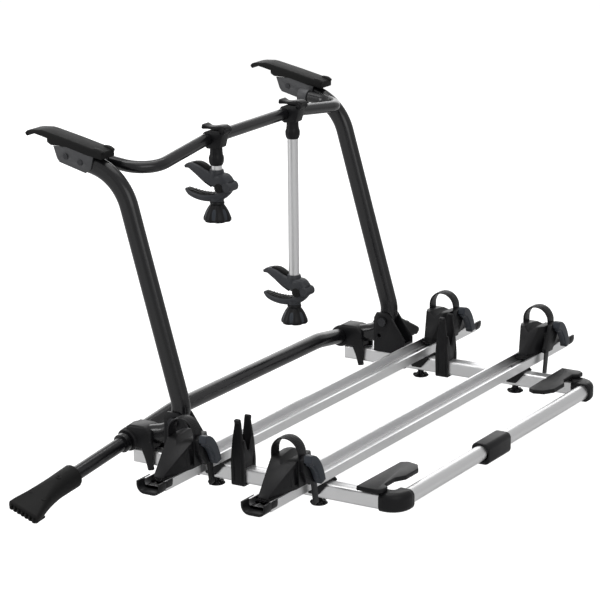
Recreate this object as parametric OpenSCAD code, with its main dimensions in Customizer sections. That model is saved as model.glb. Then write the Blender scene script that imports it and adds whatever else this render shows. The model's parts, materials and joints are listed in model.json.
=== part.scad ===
// Rear bike rack for two bicycles: a mast that hooks over a tailgate, and a platform with two wheel trays.
// X runs across the vehicle, left to right as seen from behind it, Y points towards the vehicle, Z points up.
// Inside the modules Y = 0 is the nose of the side rails and Z = 0 is their underside.
// The last lines move every piece so that the origin is the middle of the rack's footprint.

/* [Platform] */
// Length of a side rail, from its nose to the corner elbow
rail_l = 551; // [500:1:640]
// Width of a side rail
rail_w = 30; // [26:1:34]
// Height of a side rail
rail_h = 30; // [26:1:34]
// Wall of a side rail
rail_wall = 2.2; // [1.5:0.1:4]
// Radius of a side rail's edges
rail_edge_r = 5; // [3:0.5:8]
// Distance from the rail nose to the middle of the inner tray
inner_tray_back = 180; // [180:1:190]
// Distance between the middles of the two trays
tray_pitch = 226; // [215:1:240]
// Radius of the corner elbow's middle line
elbow_r = 22; // [22:1:40]
// Size of the corner elbow's section
elbow_size = 38; // [36:1:42]
// Diameter of the rear bar
rear_bar_d = 30; // [24:1:34]
// Wall of the rear bar
rear_bar_wall = 2.2; // [1.5:0.1:5]
// Length of the sleeve on the rear bar
sleeve_l = 92; // [80:2:220]

/* [Wheel trays] */
// Length of a tray
tray_l = 1210; // [1150:10:1300]
// Distance from a tray's end to the middle of the side rail near it
tray_over = 205; // [160:5:260]
// Width of a tray
tray_w = 48; // [44:1:56]
// Height of a tray's lips
tray_h = 18; // [14:1:26]
// Thickness of a tray's metal
tray_wall = 2.2; // [1.5:0.1:3.5]
// Thickness of the saddle between rail and tray
saddle_t = 5; // [4:0.5:8]
// Length of a tray end cap beyond the tray
end_cap_l = 22; // [10:1:30]

/* [Mast] */
// Depth of an upright's flat-oval section
mast_a = 38; // [34:1:42]
// Width of an upright's flat-oval section
mast_b = 28; // [20:1:29]
// Wall of an upright
mast_wall = 2; // [1.5:0.1:4]
// Lean of the uprights from the vertical, towards the vehicle
mast_lean = 16.2; // [12:0.1:18]
// Bend radius at the top of an upright
mast_top_r = 105; // [80:5:120]
// Bend radius at the foot of an upright
mast_foot_r = 60; // [50:1:62]
// Diameter of the upper crossbar
bow_d = 24; // [20:1:26]
// Bend radius at the corners of the upper crossbar
bow_r = 55; // [40:5:60]
// Diameter of the lower crossbar
cross_d = 32; // [30:1:34]
// Wall of the lower crossbar
cross_wall = 2.2; // [1.5:0.1:3]
// Radial gap between a foot arm and the lower crossbar
arm_gap = 0.1; // [0.02:0.02:0.1]

/* [Wheel holders] */
// Length of a chock at its foot
chock_l = 160; // [150:1:164]
// Height of a chock above the tray lips
chock_h = 54; // [48:1:58]
// Width of a chock
chock_w = 54; // [50:1:58]
// Width of the tyre groove in a chock
groove_w = 30; // [24:1:34]
// Height of the strap loop above the chock
loop_rise = 36; // [28:1:44]
// Width of a wheel strap
strap_w = 26; // [20:1:30]
// Thickness of a wheel strap
strap_t = 3; // [2:0.5:4]

/* [Frame holders] */
// Place of a frame holder, as a share of the way from the middle to a side rail
holder_share = 0.355; // [0.25:0.005:0.4]
// Length of the short holder's tube between socket and jaw
short_tube_l = 10; // [8:1:60]
// Length of the long holder's tube between socket and jaw
long_tube_l = 288; // [200:1:300]
// Diameter of a holder tube
holder_tube_d = 22; // [18:0.5:24]
// Width of a jaw
jaw_w = 30; // [26:1:36]
// Diameter of the hand knob
knob_d = 56; // [50:1:64]

/* [Hidden] */

// Widths that follow the trays
side_x = tray_l / 2 - tray_over;
holder_x = side_x * holder_share;

$fn = 48;
cut = 1;
small_slip = 0.1;
play = 0.5;
bend_grow = 0.05;
bend_lap = 0.8;
$grow = 0;
plate_t = 2.5;

// Rails and trays
seat_gap = 0.2;
tray_z = rail_h + saddle_t;
lip_z = tray_z + tray_h;
tray_lip = 4;
tray_rib = 3;
tray_rib_y = 11;
inner_y = -inner_tray_back;
outer_y = inner_y - tray_pitch;
groove_t = 0.8;
rail_groove_w = 1.6;
rail_groove_x = 6;
rear_y = -rail_l - elbow_r;
bar_z = rail_h / 2;
bar_half = side_x - elbow_r;
elbow_grip = 8;
elbow_edge_r = 12;
elbow_wall = 7;
cap_grip = 21;
cap_wall = 2;
cap_drop = 5;
cap_edge_r = 10;

// Screws and knobs under the trays
screw_d = 8;
screw_head_d = 18;
screw_head_h = 2.5;
screw_in_knob = 11;
knob_bore = 12.5;
knob_stem_d = 15;
knob_stem_h = 6;
knob_wing_l = 44;
knob_wing_w = 13;
knob_wing_h = 10;

// Saddles
saddle_wing_t = 4.5;
saddle_wing_h = 22;
saddle_wing_l = 58;
saddle_foot_l = 20;

// Rail clips
clip_back = 241;
clip_foot_l = 30;
clip_finger_l = 14;
clip_wall = 6;
clip_h = 126;
clip_base_t = 4;
clip_shoulder_h = 46;

// Corner pads
pad_t = 9;
pad_l = 168;
pad_w = 52;
pad_out = 26;
pad_ahead = 50;
pad_foot_w = 24;
pad_foot_l = 30;
pad_foot_in = 5;
pad_shares = [[0, 0], [0.95, 0.06], [1, 0.31], [0.965, 0.75], [0.84, 1], [0.57, 1], [0.44, 0.77], [0.2, 0.77],
    [0.155, 1], [0.05, 1], [0, 0.8]];

// Sleeve
sleeve_x = -30;
sleeve_h = 42;
sleeve_w = 39;
sleeve_edge_r = 11;
sleeve_drop = 2;

// Lower crossbar
cross_y = 0;
cross_z = 68;
cross_bend_in = 126;
cross_bend_x = side_x - cross_bend_in;
cross_end_out = 38;
cross_end_x = side_x + cross_end_out;
cross_bend_r = 150;
cross_slope = 0.161;
cross_sweep = 0.073;
bead_d = 37;
bead_l = 9;
arm_d = cross_d - 2 * cross_wall - 2 * arm_gap;
arm_wall = 2.5;
arm_in = 55;
arm_out = 218;
arm_in_x = side_x - arm_in;
arm_out_x = side_x + arm_out;

// Feet
foot_out = 178;
foot_x = side_x + foot_out;
foot_neck_d = 46;
foot_neck_l = 50;
foot_bore_l = 42;
foot_l = 156;
foot_w = 74;
foot_tilt = 18;
foot_shares = [[0.16, 0.42], [0.4, 0.42], [0.62, 0.22], [0.85, -0.02], [0.97, -0.14], [1, -0.22], [1, -0.5],
    [0.95, -0.6], [0.35, -0.5], [0.16, -0.46]];
foot_plan_shares = [[0.1, 0.28], [0.52, 0.29], [0.73, 0.38], [0.88, 0.48], [0.96, 0.5], [1.01, 0.4]];

// Mast lines in the side view
mast_low_z = 400;
mast_low_y = -24;
top_pass_y = 98;
top_pass_z = 577;
top_angle = 14;
mast_end_y = 146;
foot_angle = 13.3;
foot_back = 20;

// Hinge
hinge_turn = 24;
hinge_bolt_d = 10;
hinge_cheek_t = 5;
cheek_behind = 52;
cheek_ahead = 22;
cheek_above = 19;
cheek_shares = [[0, 0], [0, 0.37], [0.48, 0.95], [0.59, 1], [0.9, 1], [0.99, 0.86], [1, 0]];
bracket_base_t = 3;
bracket_bolt_d = 8;
bracket_bolt_shares = [0.17, 0.86];
bolt_head_d = 14;
bolt_head_h = 5;
lock_hole_d = 9;
lock_hole_drop = 32;

// Junction
junction_w = 44;
junction_r = 23;
junction_l = 62;
junction_h = 47;
junction_behind = 55;
junction_shares = [[0, 0], [0, 0.82], [0.2, 0.97], [0.32, 1], [0.8, 1], [0.95, 0.9], [1, 0.6], [1, 0]];
tab_gap = 0.6;
tab_l = 32;
tab_h = 54;
tab_bottom = 9;
tab_shares = [[0.19, 0], [0.81, 0], [1, 0.78], [1, 1], [0.3, 1], [0, 0.78]];

// Hooks
hook_w = 46;
hook_l = 178;
hook_h = 46;
hook_back = 95;
hook_shares = [[0, 0], [0, 0.28], [0.05, 0.5], [0.1, 0.43], [0.24, 0.61], [0.44, 0.8], [0.57, 0.9], [0.74, 0.97],
    [0.86, 1], [0.96, 0.94], [1, 0.8], [0.97, 0.64], [0.89, 0.76], [0.71, 0.62], [0.71, 0.48], [0.66, 0.35],
    [0.64, 0.36], [0.465, 0.37], [0.18, 0.11], [0.13, 0.09]];
bracket_l = 92;
bracket_h = 46;
bracket_back = 72;
bracket_drop = 30;
bracket_shares = [[0, 0.72], [0.1, 0.74], [0.65, 1], [1, 0.98], [0.91, 0.48], [0.85, 0.33], [0.2, 0], [0.065, 0.2]];
rivet_d = 6;
rivet_head_d = 11;
rivet_head_h = 2;
rivet_backs = [9, 43];
seat_ahead = 49;
seat_up = 31;

// Upper crossbar
bow_inset = 11;
bow_end_y = 90;
bow_corner_y = -16.5;
bow_corner_z = 563.5;
bow_mid_share = 0.415;
bow_mid_x = side_x * bow_mid_share;
bow_mid_y = -11;
bow_mid_z = 586;
bow_rise_share = 0.1156;
bow_mid_r = 100;
bow_wall = 2;
bow_socket_l = 18;
bow_socket_wall = 3;
bow_web_h = 18;

// Wheel holders
chock_in = 173;
chock_x = tray_l / 2 - chock_in;
chock_lift = 3;
chock_shares = [[0.01, 0.1], [0.19, 0.98], [0.24, 1], [0.46, 0.96], [0.55, 0.93], [0.59, 0.85],
    [0.72, 0.6], [0.98, 0.06]];
chock_plan_shares = [[0, 0.17], [0.29, 0.5], [0.57, 0.5], [1, 0.19]];
notch_depth = 12;
tongue_h = 10;
tongue_gap = 1;
tongue_shares = [0.05, 0.94];
pocket_d = 2.5;
pocket_shares = [[[0.5, 0.1], [0.57, 0.72], [0.61, 0.68], [0.59, 0.1]],
    [[0.64, 0.1], [0.655, 0.52], [0.7, 0.46], [0.73, 0.1]]];
loop_out = 73;
loop_base = 2;
lug_t = 9;
lug_l = 84;
lug_h = 58;
lug_shares = [[-0.5, 0], [-0.5, 0.14], [-0.17, 0.93], [-0.07, 1], [0.07, 1], [0.14, 0.9], [0.14, 0.52], [-0.12, 0]];
lug_foot_x = [-27, -15];
lug_foot_h = 40;
ratchet_w = 26;
ratchet_in_r = 30;
ratchet_t = 14;
ratchet_turn = 92;
ratchet_start = 6;
ratchet_pin_d = 6;
ratchet_pin_z = 48;
ratchet_pin_turn = 84;
tail_w = 18;
tail_l = 46;
tail_shares = [-0.36, -0.45];

// Frame holders
clamp_w = 27;
clamp_wall = 8;
clamp_gap = 4;
clamp_l = 36;
clamp_h = 30;
clamp_shares = [[-1, -0.47], [-1, 0.3], [-0.84, 0.52], [0, 0.52], [0, -0.6]];
socket_len = 38;
socket_top = 14;
socket_wall = 6;
socket_in = 28;
tube_wall = 1.8;
tube_back = 12;
lever_l = 64;
lever_h = 26.6;
lever_plate_h = 20.6;
lever_shares = [[-0.4, 1], [-0.4, 0.775], [0.125, 0.775], [0.25, 0.545], [0.322, 0.226], [0.375, 0.226], [0.31, 0.68],
    [0.16, 1]];
lever_neck_w = 13;
lever_knuckle_d = 13;
lever_pin_d = 6;
lever_pin_back = 34;
lever_pin_up = 18;
lever_ear_d = 14;
jaw_l = 74;
jaw_h = 62;
upper_shares = [[0.99, 0.03], [0.8, 0.17], [0.58, 0.16], [0.3, 0.09], [0.22, 0.03], [0.17, 0.03], [-0.24, 0.03],
    [-0.43, -0.21], [-0.55, -0.36], [-0.55, -0.55], [-0.45, -0.64], [-0.2, -0.58], [0.15, -0.58], [0.27, -0.45],
    [0.51, -0.26], [0.96, -0.1]];
lower_shares = [[1, -0.71], [0.68, -0.605], [0.18, -0.605], [-0.135, -0.61], [-0.22, -0.71], [-0.25, -0.92],
    [-0.2, -1], [0.38, -1], [0.85, -0.95]];
arm_shares = [[-0.52, -0.55], [-0.32, -0.38], [-0.15, -0.65], [-0.2, -0.9], [-0.25, -0.92], [-0.42, -0.77]];
slot_shares = [[-0.7, -1], [-0.7, -0.25], [-0.19, -0.25], [-0.08, -1]];
jaw_pin_share = [-0.42, -0.48];
jaw_pin_d = 8;
jaw_knuckle_d = 18;
jaw_knuckle_w = 18;
jaw_slip = 0.4;
jaw_grip = 16;
jaw_screw_d = 8;
jaw_screw_top = 41;
knob_gap = 0.3;
knob_h = 39;
knob_neck_d = 28;
knob_neck_h = 7;
knob_rim_h = 7;
knob_rim_in = 1.5;
knob_lobes = 6;
knob_scallop_d = 16;
knob_scallop_in = 3;

function unit(v) = v / norm(v);
function pts(shares, l, h) = [for (s = shares) [s[0] * l, s[1] * h]];

// Meeting point in the side view of the line through p along d with the line through q along e
function meet(p, d, q, e) = p + d * (((q - p)[0] * e[1] - (q - p)[1] * e[0]) / (d[0] * e[1] - d[1] * e[0]));

// Side view point v at x, and the mirror image of a point
function at_x(x, v) = [x, v[0], v[1]];
function flip(p) = [-p[0], p[1], p[2]];

// Lines of an upright in the side view, as points and directions in Y and Z
mast_dir = [sin(mast_lean), cos(mast_lean)];
top_dir = [cos(top_angle), sin(top_angle)];
foot_dir = [cos(foot_angle), -sin(foot_angle)];
function crank(x) = [x, cross_y + (x - cross_bend_x) * cross_sweep, cross_z - (x - cross_bend_x) * cross_slope];
mast_low = [mast_low_y, mast_low_z];
foot_pass = [crank(side_x)[1], crank(side_x)[2]];
top_pass = [top_pass_y, top_pass_z];
mast_top_corner = meet(mast_low, mast_dir, top_pass, top_dir);
mast_foot_corner = meet(mast_low, mast_dir, foot_pass, foot_dir);
mast_end = top_pass + top_dir * ((mast_end_y - top_pass_y) / top_dir[0]);
foot_end = foot_pass - foot_dir * foot_back;
foot_turn = acos(-foot_dir * mast_dir);
foot_normal = unit(mast_dir + (foot_dir * mast_dir) * -1 * foot_dir);
foot_centre = mast_foot_corner + foot_dir * mast_foot_r * tan(foot_turn / 2) + foot_normal * mast_foot_r;
hinge = foot_centre - mast_foot_r * [cos(hinge_turn), sin(hinge_turn)];
rivets = [for (b = rivet_backs) mast_end - top_dir * b];
bow_x = side_x - mast_b / 2 - bow_inset - bow_d / 2;
function bow_leg(y) = [bow_x, y, bow_corner_z + (y - bow_corner_y) * bow_rise_share];
bow_mid = [bow_mid_y, bow_mid_z];
tube_top = bow_mid_z - socket_top - socket_len + socket_in;
function jaw_z(l) = bow_mid_z - socket_top - socket_len - l;
chock_z = lip_z + chock_lift;
origin = [0, mast_end_y + seat_ahead, mast_end[1] + seat_up];

// Profile of a flat-oval or stadium shape, a long and b wide
module stadium(a, b) {
    square([a - b, b], center = true);
    for (s = [-1, 1]) translate([s * (a - b) / 2, 0]) circle(d = b);
}

// Rectangle with round corners
module round_rect(w, h, r) {
    square([w - 2 * r, h], center = true);
    square([w, h - 2 * r], center = true);
    for (sx = [-1, 1], sy = [-1, 1]) translate([sx * (w / 2 - r), sy * (h / 2 - r)]) circle(r = r);
}

// Frame at p whose Z is dir and whose Y is side
module aim(p, dir, side) {
    z = unit(dir);
    y = unit(side - (side * z) * z);
    x = cross(y, z);
    multmatrix([[x[0], y[0], z[0], p[0]], [x[1], y[1], z[1], p[1]], [x[2], y[2], z[2], p[2]], [0, 0, 0, 1]])
        children();
}

// Bend from direction u to direction w at corner p
module bend(p, u, w, r) {
    a = acos(u * w);
    n = unit(w - (w * u) * u);
    o = p - u * r * tan(a / 2) + n * r;
    k = cross(-n, u);
    multmatrix([[-n[0], u[0], k[0], o[0]], [-n[1], u[1], k[1], o[1]], [-n[2], u[2], k[2], o[2]], [0, 0, 0, 1]])
        rotate_extrude(angle = a) translate([r, 0]) children();
}

// Bar along corner points p with bend radii r, the child's Y held along side.
// Straights reach a little into the bends, whose section is larger all round by $grow, as a bent tube's is.
module run(p, r, side) {
    last = len(p) - 1;
    u = [for (i = [0:last - 1]) unit(p[i + 1] - p[i])];
    t = [for (i = [0:last]) i == 0 || i == last ? 0 : r[i - 1] * tan(acos(u[i - 1] * u[i]) / 2) - bend_lap];
    for (i = [0:last - 1]) {
        $grow = 0;
        aim(p[i] + u[i] * t[i], u[i], side)
            linear_extrude(norm(p[i + 1] - p[i]) - t[i] - t[i + 1]) children();
    }
    if (last > 1) for (i = [1:last - 1]) {
        $grow = bend_grow;
        bend(p[i], u[i - 1], u[i], r[i - 1]) children();
    }
}

// Child drawn in Y and Z, w wide, centred on x
module side_plate(x, w) {
    translate([x - w / 2, 0, 0]) rotate([90, 0, 90]) linear_extrude(w) children();
}

// Child drawn in X and Z, from y forward by l
module front_plate(y, l) {
    translate([0, y + l, 0]) rotate([90, 0, 0]) linear_extrude(l) children();
}

// Cylinder along X, centred on side view point v at x
module x_pin(x, v, d, l) {
    translate(at_x(x, v)) rotate([0, 90, 0]) cylinder(d = d, h = l, center = true);
}

module box(x0, x1, y0, y1, z0, z1) {
    translate([min(x0, x1), y0, z0]) cube([abs(x1 - x0), y1 - y0, z1 - z0]);
}

// Mast

function mast_path(s, over) = [at_x(s * side_x, foot_end + over * foot_dir), at_x(s * side_x, mast_foot_corner),
    at_x(s * side_x, mast_top_corner), at_x(s * side_x, mast_end + over * top_dir)];

module upright(s) {
    color("#1b1b1d") mirror([1 - s, 0, 0]) difference() {
        run(mast_path(1, 0), [mast_foot_r, mast_top_r], [1, 0, 0]) stadium(mast_a + 2 * $grow, mast_b + 2 * $grow);
        run(mast_path(1, cut), [mast_foot_r, mast_top_r], [1, 0, 0])
            stadium(mast_a - 2 * mast_wall + 2 * $grow, mast_b - 2 * mast_wall + 2 * $grow);
        x_pin(side_x, hinge, hinge_bolt_d, mast_b + 2 * cut);
        for (v = rivets) x_pin(side_x, v, rivet_d, mast_b + 2 * cut);
    }
}

// Solid copy of the last straight of an upright, for cutting
module mast_end_space(s) {
    aim(at_x(s * side_x, mast_end - top_dir * hook_back), at_x(0, top_dir), [1, 0, 0])
        linear_extrude(hook_back) stadium(mast_a, mast_b);
}

module foot_end_space(s) {
    aim(at_x(s * side_x, foot_end - foot_dir * junction_l), at_x(0, foot_dir), [1, 0, 0])
        linear_extrude(junction_l) stadium(mast_a, mast_b);
}

function bow_path(over) = [flip(bow_leg(bow_end_y + over)), flip(bow_leg(bow_corner_y)), at_x(-bow_mid_x, bow_mid),
    at_x(bow_mid_x, bow_mid), bow_leg(bow_corner_y), bow_leg(bow_end_y + over)];

module upper_crossbar() {
    r = [bow_r, bow_mid_r, bow_mid_r, bow_r];
    color("#1b1b1d") difference() {
        run(bow_path(0), r, [0, 0.3, 1]) circle(d = bow_d + 2 * $grow);
        run(bow_path(cut), r, [0, 0.3, 1]) circle(d = bow_d - 2 * bow_wall + 2 * $grow);
    }
}

module crank_bar(s, x0, x1, d) {
    a = crank(x0);
    b = crank(x1);
    aim([s * a[0], a[1], a[2]], [s * (b[0] - a[0]), b[1] - a[1], b[2] - a[2]], [0, 1, 0])
        cylinder(d = d, h = norm(b - a));
}

function cross_path(over) = [flip(crank(cross_end_x + over)), flip(crank(cross_bend_x)), crank(cross_bend_x),
    crank(cross_end_x + over)];

module lower_crossbar() {
    r = [cross_bend_r, cross_bend_r];
    color("#1b1b1d") difference() {
        union() {
            run(cross_path(0), r, [0, 1, 0]) circle(d = cross_d + 2 * $grow);
            for (s = [-1, 1]) crank_bar(s, cross_end_x - bead_l, cross_end_x, bead_d);
        }
        run(cross_path(cut), r, [0, 1, 0]) circle(d = cross_d - 2 * cross_wall + 2 * $grow);
    }
}

module junction(s) {
    body_z = rail_h + seat_gap;
    tab_t = junction_w / 2 - rail_w / 2 - tab_gap;
    color("#202022") difference() {
        union() {
            side_plate(s * side_x, junction_w) translate([foot_pass[0] - junction_behind, body_z])
                polygon(pts(junction_shares, junction_l, junction_h));
            crank_bar(s, side_x - junction_w / 2, side_x + junction_w / 2, 2 * junction_r);
            for (t = [-1, 1]) side_plate(s * side_x + t * (junction_w - tab_t) / 2, tab_t)
                translate([foot_pass[0] - junction_behind - tab_l / 3, -tab_bottom])
                polygon(pts(tab_shares, tab_l, tab_h));
        }
        crank_bar(s, cross_bend_x + junction_w, cross_end_x, cross_d);
        foot_end_space(s);
        box(s * side_x - rail_w / 2 - tab_gap, s * side_x + rail_w / 2 + tab_gap,
            -junction_l - tab_l, seat_gap, -tab_bottom - cut, body_z);
    }
}

module mast_fasteners() {
    color("#9a9a9c") for (s = [-1, 1]) {
        for (v = rivets) {
            x_pin(s * side_x, v, rivet_d, mast_b + 2 * plate_t);
            for (t = [-1, 1])
                x_pin(s * side_x + t * (mast_b / 2 + plate_t + rivet_head_h / 2), v, rivet_head_d, rivet_head_h);
        }
        cheek = mast_b / 2 + play + hinge_cheek_t + play;
        x_pin(s * side_x, hinge, hinge_bolt_d, 2 * cheek);
        for (t = [-1, 1])
            x_pin(s * side_x + t * (cheek + bolt_head_h / 2), hinge, bolt_head_d + bolt_head_h, bolt_head_h);
    }
}

// Hooks

module bracket_outline() {
    translate(mast_end - [bracket_back, bracket_drop]) polygon(pts(bracket_shares, bracket_l, bracket_h));
}

module hook_bracket(s) {
    leg = bow_leg(bow_end_y);
    color("#7d7f82") difference() {
        union() {
            for (t = [-1, 1]) side_plate(s * side_x + t * (mast_b + plate_t) / 2, plate_t) bracket_outline();
            aim([s * leg[0], leg[1] - bow_socket_l, leg[2] - bow_socket_l * bow_rise_share],
                [0, 1, bow_rise_share], [1, 0, 0])
                cylinder(d = bow_d + 2 * bow_socket_wall, h = bow_socket_l + bow_socket_wall);
            box(s * leg[0], s * (side_x - mast_b / 2 - plate_t), leg[1] - bow_socket_l + bow_socket_wall,
                leg[1] + bow_socket_wall - cut, leg[2] - bow_web_h / 2, leg[2] + bow_web_h / 2);
        }
        aim([s * leg[0], leg[1] - 2 * bow_socket_l, leg[2] - 2 * bow_socket_l * bow_rise_share],
            [0, 1, bow_rise_share], [1, 0, 0])
            cylinder(d = bow_d, h = 2 * bow_socket_l * norm([1, bow_rise_share]));
        for (v = rivets) x_pin(s * side_x, v, rivet_d, mast_b + 2 * plate_t + 2 * cut);
    }
}

module hook_cover(s) {
    color("#161617") difference() {
        side_plate(s * side_x, hook_w) translate(mast_end - [hook_back, 0]) polygon(pts(hook_shares, hook_l, hook_h));
        mast_end_space(s);
        for (t = [-1, 1]) side_plate(s * side_x + t * (mast_b + plate_t) / 2, plate_t) bracket_outline();
    }
}

// Foot arms

module foot_arm(s) {
    color("#c4c6c8") difference() {
        crank_bar(s, arm_in_x, arm_out_x, arm_d);
        crank_bar(s, arm_in_x - cut, arm_out_x + cut, arm_d - 2 * arm_wall);
    }
}

// Child with X along the right foot arm from x, Y ahead
module along_arm(x) {
    c = crank(x);
    u = unit([1, cross_sweep, -cross_slope]);
    y = unit([0, 1, 0] - u[1] * u);
    z = cross(u, y);
    multmatrix([[u[0], y[0], z[0], c[0]], [u[1], y[1], z[1], c[1]], [u[2], y[2], z[2], c[2]], [0, 0, 0, 1]])
        children();
}

module foot(s) {
    n = len(foot_plan_shares);
    color("#19191a") on_side(s) along_arm(foot_x) difference() {
        union() {
            rotate([0, 90, 0]) cylinder(d = foot_neck_d, h = foot_neck_l);
            rotate([foot_tilt, 0, 0]) difference() {
                front_plate(-foot_w / 2, foot_w) polygon(pts(foot_shares, foot_l, foot_neck_d));
                for (t = [-1, 1]) translate([0, 0, -foot_w]) linear_extrude(2 * foot_w)
                    polygon(pts(concat([for (v = foot_plan_shares) [v[0], t * v[1]]],
                        [[foot_plan_shares[n - 1][0], t], [foot_plan_shares[0][0], t]]), foot_l, foot_w));
            }
        }
        translate([-cut, 0, 0]) rotate([0, 90, 0]) cylinder(d = arm_d, h = foot_bore_l + cut);
    }
}

// Platform

module rail(s) {
    color("#c9cbcd") difference() {
        translate([s * side_x, 0, rail_h / 2]) rotate([90, 0, 0]) linear_extrude(rail_l) difference() {
            round_rect(rail_w, rail_h, rail_edge_r);
            round_rect(rail_w - 2 * rail_wall, rail_h - 2 * rail_wall, rail_edge_r - rail_wall);
            for (t = [-1, 1]) translate([t * rail_groove_x, rail_h / 2])
                square([rail_groove_w, 2 * groove_t], center = true);
        }
        for (y = [inner_y, outer_y]) translate([s * side_x, y, -cut]) cylinder(d = screw_d, h = rail_h + 2 * cut);
        for (v = bracket_bolt_shares) translate([s * side_x, bracket_y(v), -cut])
            cylinder(d = bracket_bolt_d, h = rail_h + 2 * cut);
    }
}

function bracket_y(share) = hinge[0] - cheek_behind + share * (cheek_behind + cheek_ahead);

module hinge_bracket(s) {
    back = hinge[0] - cheek_behind;
    front = hinge[0] + cheek_ahead;
    in = mast_b / 2 + play;
    out = in + hinge_cheek_t;
    color("#2a2a2c") difference() {
        union() {
            for (t = [-1, 1]) side_plate(s * side_x + t * (in + out) / 2, hinge_cheek_t) translate([back, rail_h])
                polygon(pts(cheek_shares, cheek_behind + cheek_ahead, hinge[1] + cheek_above - rail_h));
            box(s * side_x - out, s * side_x + out, back, front, rail_h, rail_h + bracket_base_t);
            box(s * side_x - out, s * side_x + out, back, back + bracket_base_t, rail_h, tray_z + tray_h);
        }
        x_pin(s * side_x, hinge, hinge_bolt_d + 2 * small_slip, 2 * out + 2 * cut);
        x_pin(s * side_x, hinge + [lock_hole_d, -lock_hole_drop], lock_hole_d, 2 * out + 2 * cut);
        for (v = bracket_bolt_shares) translate([s * side_x, bracket_y(v), rail_h - cut])
            cylinder(d = bracket_bolt_d, h = bracket_base_t + 2 * cut);
    }
}

module bracket_bolts() {
    color("#9a9a9c") for (s = [-1, 1]) {
        for (v = bracket_bolt_shares) translate([s * side_x, bracket_y(v), 0]) {
            translate([0, 0, -bolt_head_h]) cylinder(d = bracket_bolt_d, h = rail_h + bracket_base_t + bolt_head_h);
            translate([0, 0, rail_h + bracket_base_t]) cylinder(d = bolt_head_d, h = bolt_head_h);
            translate([0, 0, -bolt_head_h]) cylinder(d = bolt_head_d, h = bolt_head_h);
        }
        for (y = [inner_y, outer_y]) translate([s * side_x, y, 0]) {
            translate([0, 0, -screw_in_knob]) cylinder(d = screw_d, h = tray_z + tray_wall + screw_in_knob);
            translate([0, 0, tray_z + tray_wall]) cylinder(d = screw_head_d, h = screw_head_h);
        }
    }
}

module rear_bar() {
    color("#c9cbcd") translate([-bar_half, rear_y, bar_z]) rotate([0, 90, 0]) linear_extrude(2 * bar_half)
        difference() {
            circle(d = rear_bar_d);
            circle(d = rear_bar_d - 2 * rear_bar_wall);
        }
}

module rear_sleeve() {
    color("#1d1d1f") difference() {
        translate([sleeve_x - sleeve_l / 2, rear_y, bar_z - sleeve_drop]) rotate([90, 0, 90]) linear_extrude(sleeve_l)
            round_rect(sleeve_w, sleeve_h, sleeve_edge_r);
        x_pin(sleeve_x, [rear_y, bar_z], rear_bar_d, sleeve_l + 2 * cut);
    }
}

module corner_elbow(s) {
    p = [[s * side_x, elbow_grip - rail_l, bar_z], [s * side_x, rear_y, bar_z],
        [s * (bar_half - elbow_grip), rear_y, bar_z]];
    color("#1d1d1f") difference() {
        run(p, [elbow_r], [0, 0, 1]) round_rect(elbow_size + 2 * $grow, elbow_size + 2 * $grow, elbow_edge_r);
        bend(p[1], [0, -1, 0], [-s, 0, 0], elbow_r) circle(d = elbow_size - 2 * elbow_wall);
        translate([s * side_x, elbow_grip + cut - rail_l, bar_z]) rotate([90, 0, 0]) linear_extrude(elbow_grip + cut)
            round_rect(rail_w, rail_h, rail_edge_r);
        translate([s * bar_half, rear_y, bar_z]) rotate([0, -90 * s, 0])
            cylinder(d = rear_bar_d, h = elbow_grip + cut);
    }
}

module corner_pad(s) {
    back = pad_ahead - rail_l;
    color("#242426") {
        translate([s * (side_x + pad_out), back, bar_z + elbow_size / 2 + bend_grow])
            linear_extrude(pad_t) polygon([for (v = pad_shares) [-s * v[0] * pad_l, -v[1] * pad_w]]);
        box(s * (side_x - pad_foot_w / 2), s * (side_x + pad_foot_w / 2), back - pad_foot_in - pad_foot_l,
            back - pad_foot_in, rail_h, bar_z + elbow_size / 2 + bend_grow + cut);
    }
}

module tray_profile() {
    w = tray_w / 2;
    translate([-w, 0]) square([tray_w, tray_wall]);
    for (t = [-1, 1]) {
        translate([t * (w - tray_wall / 2) - tray_wall / 2, 0]) square([tray_wall, tray_h]);
        translate([t * (w - tray_lip / 2) - tray_lip / 2, tray_h - tray_wall]) square([tray_lip, tray_wall]);
        translate([t * tray_rib_y - tray_wall / 2, 0]) square([tray_wall, tray_wall + tray_rib]);
    }
}

module tray(y) {
    color("#c9cbcd") difference() {
        translate([-tray_l / 2, y, tray_z]) rotate([90, 0, 90]) linear_extrude(tray_l) tray_profile();
        for (s = [-1, 1]) translate([s * side_x, y, tray_z - cut]) cylinder(d = screw_d, h = tray_wall + 2 * cut);
    }
}

module tray_end_caps() {
    l = cap_grip + end_cap_l;
    h = cap_drop + tray_h + cap_wall + cap_edge_r;
    color("#1d1d1f") for (s = [-1, 1], y = [inner_y, outer_y]) difference() {
        translate([s * (tray_l / 2 - cap_grip + l / 2) - l / 2, y, tray_z - cap_drop + h / 2])
            rotate([90, 0, 90]) linear_extrude(l) round_rect(tray_w + 2 * cap_wall, h, cap_edge_r);
        box(s * (tray_l / 2 - cap_grip - cut), s * (tray_l / 2 + end_cap_l + cut), y - tray_w, y + tray_w,
            lip_z + cap_wall, lip_z + tray_h + cap_edge_r);
        box(s * (tray_l / 2 - cap_grip - cut), s * tray_l / 2, y - tray_w / 2, y + tray_w / 2, tray_z, lip_z);
        box(s * (tray_l / 2 - cap_grip - cut), s * (tray_l / 2 + end_cap_l + cut), y - tray_w / 2 + tray_lip,
            y + tray_w / 2 - tray_lip, tray_z + tray_wall, lip_z + 2 * cap_wall);
    }
}

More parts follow.
